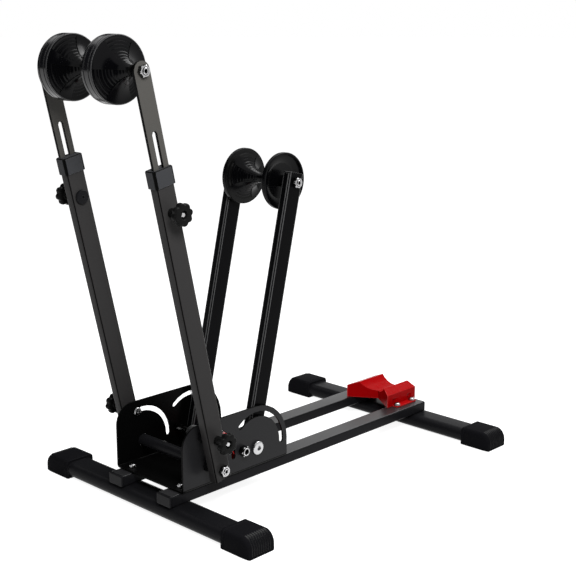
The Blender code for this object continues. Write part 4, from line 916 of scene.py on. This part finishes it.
def make_rods():
    """The pivot rod, spring shaft and the two axles, with their nuts."""
    thin, thick = ROD_RADIUS, SPRING_SHAFT_RADIUS
    rods = (
        ("tall_pivot_rod", "tall_pivot_nut", TALL_BASE, thin, TALL_ARM_OUTER_Y, ROD_NUT_HEIGHT),
        ("spring_shaft", "spring_shaft_nut", SPRING_BASE, thick, PLATE_OUTER_Y, SPRING_NUT_HEIGHT),
        ("tall_axle", "tall_axle_nut", TALL_TOP, thin, BAR_OUTER_Y, ROD_NUT_HEIGHT),
        ("short_axle", "short_axle_nut", SHORT_TOP, thin, SHORT_ARM_OUTER_Y, ROD_NUT_HEIGHT),
    )
    for rod, nut, place, radius, outer_y, nut_height in rods:
        seat = outer_y + FIT
        make_rod(rod, place, radius, seat, nut_height)
        make_nut(nut, place, seat, nut_height, radius + FIT / 2)


def dome_bolt(tip):
    """Return a rail bolt's section: shank, washer, domed head and hexagon socket."""
    washer_top = FIT + RAIL_BOLT_WASHER
    head = RAIL_BOLT_HEAD_RADIUS - RAIL_BOLT_WASHER_RIM
    top = FIT + RAIL_BOLT_HEAD_HEIGHT
    dome_start = (top, SOCKET_RADIUS + SOCKET_LAND)
    profile = [(tip, M6_RADIUS), (FIT, M6_RADIUS), (FIT, RAIL_BOLT_HEAD_RADIUS)]
    profile += [(washer_top, RAIL_BOLT_HEAD_RADIUS), (washer_top, head)]
    profile += reversed(quarter(dome_start, (washer_top + DOME_EDGE, head), DOME_STEPS))
    profile += [(top, SOCKET_RADIUS, hexagon), (top - SOCKET_DEPTH, SOCKET_RADIUS, hexagon)]
    return profile


def make_rail_bolts():
    """The eight button head bolts that hold the bracket and the entry pad."""
    for kind in ("bracket_bolt", "entry_pad_bolt"):
        for end in ENDS:
            for word, _ in SIDES:
                name = f"{kind}_{end}_{word}"
                low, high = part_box(name)
                middle = (low + high) / 2
                seat = high.z - FIT - RAIL_BOLT_HEAD_HEIGHT
                place = Matrix.Translation((middle.x, middle.y, seat))
                maker = turn(dome_bolt(low.z - seat), DOME_SIDES, along_z, closed=False)
                add_piece(f"{name}_piece", maker, place, [name], "zinc")


def make_pad_screw():
    """The button head screw that holds the wheel pad from below."""
    low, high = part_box("wheel_pad_screw")
    middle = (low + high) / 2
    seat = low.z + FIT + RAIL_BOLT_HEAD_HEIGHT
    place = Matrix.Translation((middle.x, middle.y, seat)) @ Matrix.Rotation(math.pi, 4, "X")
    maker = turn(dome_bolt(seat - high.z), DOME_SIDES, along_z, closed=False)
    add_piece("wheel_pad_screw_piece", maker, place, ["wheel_pad_screw"], "zinc")


def make_short_pivot_bolts():
    """The shoulder bolts of the short arms, with flat bright heads."""
    tip = SHORT_ARM_INNER_Y - WELD_NUT_HEIGHT - FIT
    shoulder = SHORT_ARM_OUTER_Y + FIT
    seat = PLATE_OUTER_Y + FIT
    top = seat + SHOULDER_HEAD_HEIGHT
    head = SHOULDER_HEAD_RADIUS
    along, inward = SHOULDER_HEAD_ROUND
    mouth, entry, floor = SHOULDER_SOCKET_RADII
    entry_depth, floor_depth = SHOULDER_SOCKET_DEPTHS
    profile = [(tip, ROD_RADIUS), (shoulder, ROD_RADIUS), (shoulder, SHOULDER_RADIUS)]
    profile += [(seat, SHOULDER_RADIUS), (seat, head)]
    profile += reversed(quarter((top, head - inward), (top - along, head), SHOULDER_HEAD_STEPS))
    profile += [(top, mouth), (top - entry_depth, entry, hexagon)]
    profile += [(top - floor_depth, floor, hexagon)]
    for word, side in SIDES:
        name = f"short_pivot_bolt_{word}"
        maker = turn(mirrored(profile, side), FASTENER_SIDES, closed=False)
        add_piece(f"{name}_piece", maker, SHORT, [name], "zinc")


def knob_bolt(seat, head, height):
    """Return a knob bolt's section from its socket, over its head, to its tip."""
    tip = TALL_ARM_OUTER_Y + FIT + KNOB_GRIP + KNOB_THICKNESS - KNOB_RECESS_DEPTH / 2
    top = seat - height
    corner = KNOB_BOLT_HEAD_ROUND
    floor, mouth = KNOB_BOLT_SOCKET_RADII
    along, inward = KNOB_BOLT_TIP_CHAMFER
    profile = [(top + KNOB_BOLT_SOCKET_DEPTH, floor, hexagon), (top, mouth, hexagon)]
    profile += quarter((top, head - corner), (top + corner, head), KNOB_BOLT_HEAD_STEPS)
    profile += [(seat, head), (seat, M6_RADIUS), (tip - along, M6_RADIUS)]
    profile.append((tip, M6_RADIUS - inward))
    return profile


def make_knob_bolts():
    """The bolts that the star knobs turn on; the height bolts have plastic heads."""
    bolts = (
        ("slot_bolt", SLOT_BOLT_REACH, PLATE_INNER_Y - FIT, SLOT_BOLT_HEAD, "zinc"),
        ("height_bolt", HEIGHT_BOLT_REACH, TALL_ARM_INNER_Y - FIT, HEIGHT_BOLT_HEAD, "plastic"),
    )
    for kind, reach, seat, head, head_finish in bolts:
        profile = knob_bolt(seat, *head)
        for word, side in SIDES:
            name = f"{kind}_{word}"
            maker = turn(mirrored(profile, side), FASTENER_SIDES, closed=False)
            for face in maker.faces:
                face.material_index = int(abs(face.calc_center_median().y) > seat)
            add_piece(f"{name}_piece", maker, up_arm(TALL, reach), [name], head_finish, "zinc")


# Knobs
def star(angle):
    """Scale a circle to a knob's lobed rim: flat-topped lobes and round hollows."""
    wave = 0.5 - 0.5 * math.cos(KNOB_LOBES * angle)
    return 1.0 - KNOB_LOBE_DEPTH / KNOB_RADIUS * wave ** KNOB_LOBE_FLATNESS


def knob_round(face, inward):
    """Return the rounded rim between a knob's face and its widest ring."""
    start, end = (face, KNOB_FACE_RADIUS), (face + inward * KNOB_ROUND, KNOB_RADIUS)
    return [(*point, star) for point in quarter(start, end, KNOB_ROUND_STEPS)]


def knob_recess(face, hole):
    """Return the stepped recess in a knob's face, down to its hole."""
    radius = KNOB_RECESS_RADIUS
    step = KNOB_RECESS_STEP
    inner = radius + KNOB_RECESS_LIP
    outer = inner + KNOB_RECESS_LAND
    floor = face - KNOB_RECESS_DEPTH
    return [
        (face, outer + step), (face - step, outer), (face - step, inner),
        (face - 2 * step, radius), (floor, radius - KNOB_RECESS_DRAFT), (floor, hole),
    ]


def make_knobs():
    """The four star knobs."""
    seat = TALL_ARM_OUTER_Y + FIT
    grip, face = KNOB_GRIP, KNOB_GRIP + KNOB_THICKNESS
    hole = M6_RADIUS + FIT
    boss, chamfer = KNOB_BOSS_RADIUS, KNOB_BOSS_CHAMFER
    flare_along, flare_out = KNOB_BOSS_FLARE
    profile = [(0.0, hole), (0.0, boss - chamfer), (chamfer, boss)]
    profile += [(grip - flare_along, boss), (grip, boss + flare_out)]
    profile += knob_round(grip, 1) + list(reversed(knob_round(face, -1)))
    profile += knob_recess(face, hole)
    for kind, reach in (("slot_knob", SLOT_BOLT_REACH), ("height_knob", HEIGHT_BOLT_REACH)):
        for word, side in SIDES:
            name = f"{kind}_{word}"
            maker = turn(mirrored(profile, side), KNOB_LOBES * KNOB_STEPS_PER_LOBE)
            place = up_arm(TALL, reach, side * seat)
            add_piece(f"{name}_shell", maker, place, [name], "knob_plastic")


# Return spring and fold hook
def make_spring():
    """The coil on its shaft, its end curls closing in."""
    grip = SPRING_SHAFT_RADIUS + FIT + SPRING_WIRE_RADIUS
    points = []
    for index in range(SPRING_CURLS * CURL_STEPS + 1):
        turns = index / CURL_STEPS
        closing = max(0.0, 1.0 - turns, turns - (SPRING_CURLS - 1))
        radius = SPRING_COIL_RADIUS + (grip - SPRING_COIL_RADIUS) * closing
        angle = 2 * math.pi * turns
        along = SPRING_PITCH * (turns - SPRING_CURLS / 2)
        points.append(Vector((radius * math.cos(angle), along, radius * math.sin(angle))))
    tail = Vector((0.0, 0.0, 2 * SPRING_WIRE_RADIUS))
    points.insert(0, points[0] - tail)
    points.append(points[-1] + tail)
    maker = sweep(points, SPRING_WIRE_RADIUS, SPRING_WIRE_SIDES)
    add_piece("return_spring_wire", maker, SPRING_BASE, ["return_spring"], "spring_steel")


def rounded_path(corners, radius, steps):
    """Return a path through corner points with each bend turned into an arc."""
    path = [corners[0]]
    for before, corner, after in zip(corners, corners[1:], corners[2:]):
        way_in, way_out = (corner - before).normalized(), (after - corner).normalized()
        bend = way_in.angle(way_out)
        start = corner - way_in * radius * math.tan(bend / 2)
        inward = (way_out - way_in * way_in.dot(way_out)).normalized()
        centre = start + inward * radius
        for step in range(steps + 1):
            angle = bend * step / steps
            path.append(centre + radius * (way_in * math.sin(angle) - inward * math.cos(angle)))
    path.append(corners[-1])
    return path


def make_fold_hook():
    """The bent rod with an eye that hooks round the short arm."""
    rod = HOOK_ROD_RADIUS
    inner_y = SHORT_ARM_INNER_Y - FIT - rod
    front_x = -(SHORT_ARM_DEPTH / 2 + FIT + rod)
    rise = HOOK_REACH - WING_SCREW_REACH
    corners = [
        Vector((0.0, inner_y, HOOK_FOOT - rod / 2)),
        Vector((0.0, inner_y, rise)),
        Vector((front_x, inner_y, rise)),
        Vector((front_x, HOOK_TIP_Y, rise)),
        Vector((front_x + HOOK_TIP_LENGTH, HOOK_TIP_Y, rise)),
    ]
    path = rounded_path(corners, HOOK_BEND + FIT + rod, HOOK_BEND_STEPS)
    maker = sweep(path, rod, HOOK_ROD_SIDES)
    eye = []
    for step in range(HOOK_EYE_STEPS):
        angle = 2 * math.pi * step / HOOK_EYE_STEPS
        eye.append((inner_y + HOOK_EYE_WIDTH * math.cos(angle),
                    HOOK_EYE_RADIUS + HOOK_EYE_THICKNESS * math.sin(angle)))
    turn(eye, HOOK_EYE_SIDES, maker=maker)
    place = up_arm(SHORT, WING_SCREW_REACH)
    add_piece("fold_hook_rod", maker, place, ["fold_hook"], "short_powder")


# Foot caps
def cap_ring(maker, along, sink, draw):
    """Add one ring of a foot cap; sink lowers its top and draw pulls in its sides."""
    half = CAP_DEPTH / 2 - draw
    top = CAP_HEIGHT - sink
    corners = (
        (-half + CAP_SOLE_ROUND, CAP_SOLE_ROUND, CAP_SOLE_ROUND, 180),
        (half - CAP_SOLE_ROUND, CAP_SOLE_ROUND, CAP_SOLE_ROUND, 270),
        (half - CAP_TOP_ROUND, top - CAP_TOP_ROUND, CAP_TOP_ROUND, 0),
        (-half + CAP_TOP_ROUND, top - CAP_TOP_ROUND, CAP_TOP_ROUND, 90),
    )
    ring = []
    for x, z, radius, start in corners:
        for step in range(CAP_CORNER_STEPS + 1):
            angle = math.radians(start + 90 * step / CAP_CORNER_STEPS)
            spot = (x + radius * math.cos(angle), along, z + radius * math.sin(angle))
            ring.append(maker.verts.new(spot))
    return ring


def cap_steps():
    """Return a cap's (along, sink, draw) steps: mouth, groove of the collar, rounded end."""
    start, end = CAP_GROOVE
    depth = CAP_GROOVE_DEPTH
    collar = [*CAP_MOUTH, (start, 0.0), (start + depth, depth), (end - depth, depth), (end, 0.0)]
    steps = [(along, inset, inset) for along, inset in collar]
    for step in range(CAP_END_STEPS + 1):
        angle = math.pi / 2 * step / CAP_END_STEPS
        along = CAP_LENGTH - CAP_RIB_DEPTH - CAP_END_ROUND * (1 - math.sin(angle))
        sink = CAP_END_ROUND * (1 - math.cos(angle)) + CAP_RIB_DEPTH * math.sin(angle)
        steps.append((along, sink, sink * CAP_END_DRAW))
    return steps


def rib_path():
    """Return a rib's (along, height) steps: up the cap's end and over onto its top."""
    start = (CAP_LENGTH, CAP_HEIGHT - CAP_END_ROUND)
    end = (CAP_LENGTH - CAP_END_ROUND, CAP_HEIGHT)
    runout, drop = CAP_RIB_RUNOUT
    path = [(CAP_LENGTH - back, height) for back, height in CAP_RIB_FOOT]
    path += quarter(start, end, CAP_END_STEPS)
    path.append((end[0] - runout, CAP_HEIGHT - drop))
    return path


def add_cap_rib(maker, x):
    """Add one rib with a flat crest and sloping shoulders."""
    path = rib_path()
    across = Vector((CAP_RIB_HALF, 0.0, 0.0))
    rings = []
    for index, (along, height) in enumerate(path):
        before, after = neighbours(path, index)
        way = Vector((0.0, after[0] - before[0], after[1] - before[1])).normalized()
        inward = Vector((0.0, -way.z, way.y))
        spot = Vector((x, along, height))
        root = spot + inward * CAP_RIB_ROOT
        shoulder = spot + inward * CAP_RIB_CREST
        ring = (root - across, shoulder - across, spot - across / 2,
                spot + across / 2, shoulder + across, root + across)
        rings.append([maker.verts.new(point) for point in ring])
    skin(maker, rings)


def make_foot_cap(name, side):
    """A moulded cap with a grooved collar and upright ribs over its rounded end."""
    maker = bmesh.new()
    skin(maker, [cap_ring(maker, *step) for step in cap_steps()])
    spacing = (CAP_DEPTH - 2 * CAP_RIB_MARGIN) / (CAP_RIBS - 1)
    for index in range(CAP_RIBS):
        add_cap_rib(maker, spacing * (index - (CAP_RIBS - 1) / 2))
    low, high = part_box(name)
    middle = (low + high) / 2
    inner_end = high.y - CAP_LENGTH if side == LEFT else low.y + CAP_LENGTH
    place = Matrix.Translation((middle.x, inner_end, 0.0))
    place @= Matrix.Rotation(0.0 if side == LEFT else math.pi, 4, "Z")
    add_piece(f"{name}_shell", maker, place, [name], "cap_plastic", sharp=CAP_SHARP_ANGLE)


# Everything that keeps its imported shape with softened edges
def soften_all():
    """Tubes, plates, bars, sleeves, plugs and pads."""
    for name in ("front_cross_tube", "rear_cross_tube", "tall_pivot_tube"):
        soften(name, ["base_powder"], METAL_EDGE)
    # painted shade: the bracket's rims and the faces that look into it are black
    soften("pivot_bracket", ["plate_powder", "black_edge"], METAL_EDGE, choose=bracket_inside)
    for word, _ in SIDES:
        # painted light: the rails' level faces take a paler lit copy of the paint, their sides the
        # darker copy
        soften(f"rail_{word}", ["base_powder", "top_powder"], METAL_EDGE, choose=level_face)
        soften(f"slot_spacer_{word}", ["plastic"], PLASTIC_EDGE)
        for end in ENDS:
            soften(f"rail_plug_{end}_{word}", ["plastic"], PLASTIC_EDGE)
        # painted shade: a black line down the middle of each rounded corner, as a dark reflection
        soften(f"tall_arm_{word}", ["arm_powder", "black_edge"], METAL_EDGE,
               choose=middle_of_corner, arm=TALL)
        # painted highlight: pale lines on the outer faces of each rounded corner
        soften(f"short_arm_{word}", ["short_powder", "pale_edge"], METAL_EDGE,
               choose=sides_of_corner, arm=SHORT)
        # painted shade: black rounded corners, as dark reflections; the sleeve finish paints
        # highlight lines on its edges
        soften(f"arm_sleeve_{word}", ["sleeve_plastic", "black_edge"], PLASTIC_EDGE,
               choose=whole_corner, arm=TALL)
        # painted shade: black on all but the bar's two broad faces, as dark outline lines
        soften(f"extension_bar_{word}", ["bar_powder", "black_edge"], METAL_EDGE,
               choose=bar_rim, arm=TALL)
    for name in ("entry_pad", "wheel_pad"):
        soften(name, ["red"], PAD_EDGE, PAD_EDGE_STEPS)
    soften("wing_screw", ["zinc"], METAL_EDGE)


# Studio
def make_camera():
    """The camera at the photograph's place and angle."""
    lens = bpy.data.cameras.new("camera")
    lens.lens = CAMERA_LENS
    lens.clip_start, lens.clip_end = CAMERA_CLIP
    camera = put_in_scene("camera", lens)
    camera.location = CAMERA_PLACE
    camera.rotation_euler = (CAMERA_PITCH, 0.0, CAMERA_TURN)
    bpy.context.scene.camera = camera


def add_light(name, place, target, size, power):
    """A soft rectangular lamp that faces a point."""
    lamp = bpy.data.lights.new(name, "AREA")
    lamp.shape = "RECTANGLE"
    lamp.size, lamp.size_y = size
    lamp.energy = power
    light = put_in_scene(name, lamp)
    light.location = place
    way = Vector(target) - Vector(place)
    light.rotation_euler = way.to_track_quat("-Z", "Y").to_euler()
    return light


def matt_material(name, colour, roughness):
    """Return a material without gloss, with its node tree and shader."""
    material, tree, shader = start_material(name)
    shader.inputs["Base Color"].default_value = (*colour, 1.0)
    shader.inputs["Roughness"].default_value = roughness
    shader.inputs["Specular IOR Level"].default_value = 0.0
    return material, tree, shader


def make_floor():
    """A pale round floor that shows white to the camera and keeps the stand's shadow."""
    maker = bmesh.new()
    bmesh.ops.create_circle(maker, cap_ends=True, radius=FLOOR_RADIUS, segments=FLOOR_SIDES)
    mesh = bpy.data.meshes.new("floor")
    maker.to_mesh(mesh)
    maker.free()
    floor = put_in_scene("floor", mesh)
    material, tree, shader = matt_material("floor_paper", FLOOR_COLOUR, FLOOR_ROUGHNESS)
    glow = node(tree, "ShaderNodeMath")
    glow.operation = "MULTIPLY"
    glow.inputs[1].default_value = FLOOR_GLOW
    tree.links.new(seen_directly(tree), glow.inputs[0])
    shader.inputs["Emission Color"].default_value = WHITE
    tree.links.new(glow.outputs[0], shader.inputs["Emission Strength"])
    mesh.materials.append(material)


def seen_directly(tree):
    """Return 1 for rays from the camera and for rays that mirror or pass through, else 0."""
    ray = tree.nodes.new("ShaderNodeLightPath")
    result = ray.outputs["Is Camera Ray"]
    for name in ("Is Glossy Ray", "Is Transmission Ray"):
        either = tree.nodes.new("ShaderNodeMath")
        either.operation = "MAXIMUM"
        tree.links.new(result, either.inputs[0])
        tree.links.new(ray.outputs[name], either.inputs[1])
        result = either.outputs[0]
    return result


def make_dark_cards():
    """Dark cards that only reflections see, as studios use for black goods."""
    material, _, _ = matt_material("card_black", CARD_COLOUR, CARD_ROUGHNESS)
    for index, (place, (width, height), turn_z) in enumerate(DARK_CARDS):
        mesh = bpy.data.meshes.new(f"dark_card_{index}")
        corners = [(x * width / 2, y * height / 2, 0.0)
                   for x, y in ((-1, -1), (1, -1), (1, 1), (-1, 1))]
        mesh.from_pydata(corners, [], [(0, 1, 2, 3)])
        mesh.materials.append(material)
        card = put_in_scene(mesh.name, mesh)
        card.location = place
        card.rotation_euler = (math.pi / 2, 0.0, turn_z)
        card.visible_camera = False
        card.visible_diffuse = False
        card.visible_shadow = False


def make_world():
    """Soft even light, with a white backdrop for the camera and for reflections."""
    world = bpy.data.worlds.new("studio")
    world.use_nodes = True
    tree = world.node_tree
    lit = tree.nodes["Background"]
    lit.inputs["Color"].default_value = WHITE
    lit.inputs["Strength"].default_value = WORLD_STRENGTH
    seen = node(tree, "ShaderNodeBackground", Color=WHITE, Strength=1.0)
    pick = tree.nodes.new("ShaderNodeMixShader")
    tree.links.new(seen_directly(tree), pick.inputs["Fac"])
    tree.links.new(lit.outputs["Background"], pick.inputs[1])
    tree.links.new(seen.outputs["Background"], pick.inputs[2])
    tree.links.new(pick.outputs["Shader"], tree.nodes["World Output"].inputs["Surface"])
    bpy.context.scene.world = world


soften_all()
for side_word, side_sign in SIDES:
    make_tall_roller(side_word, side_sign)
    make_short_roller(side_word, side_sign)
    for cap_end in ENDS:
        make_foot_cap(f"foot_cap_{cap_end}_{side_word}", side_sign)
make_rods()
make_rail_bolts()
make_pad_screw()
make_short_pivot_bolts()
make_knob_bolts()
make_knobs()
make_spring()
make_fold_hook()
make_camera()
make_world()
make_floor()
make_dark_cards()
add_light("key", *KEY_LAMP)
add_light("front", *FRONT_LAMP).visible_glossy = False
bpy.context.scene.view_settings.view_transform = "Standard"
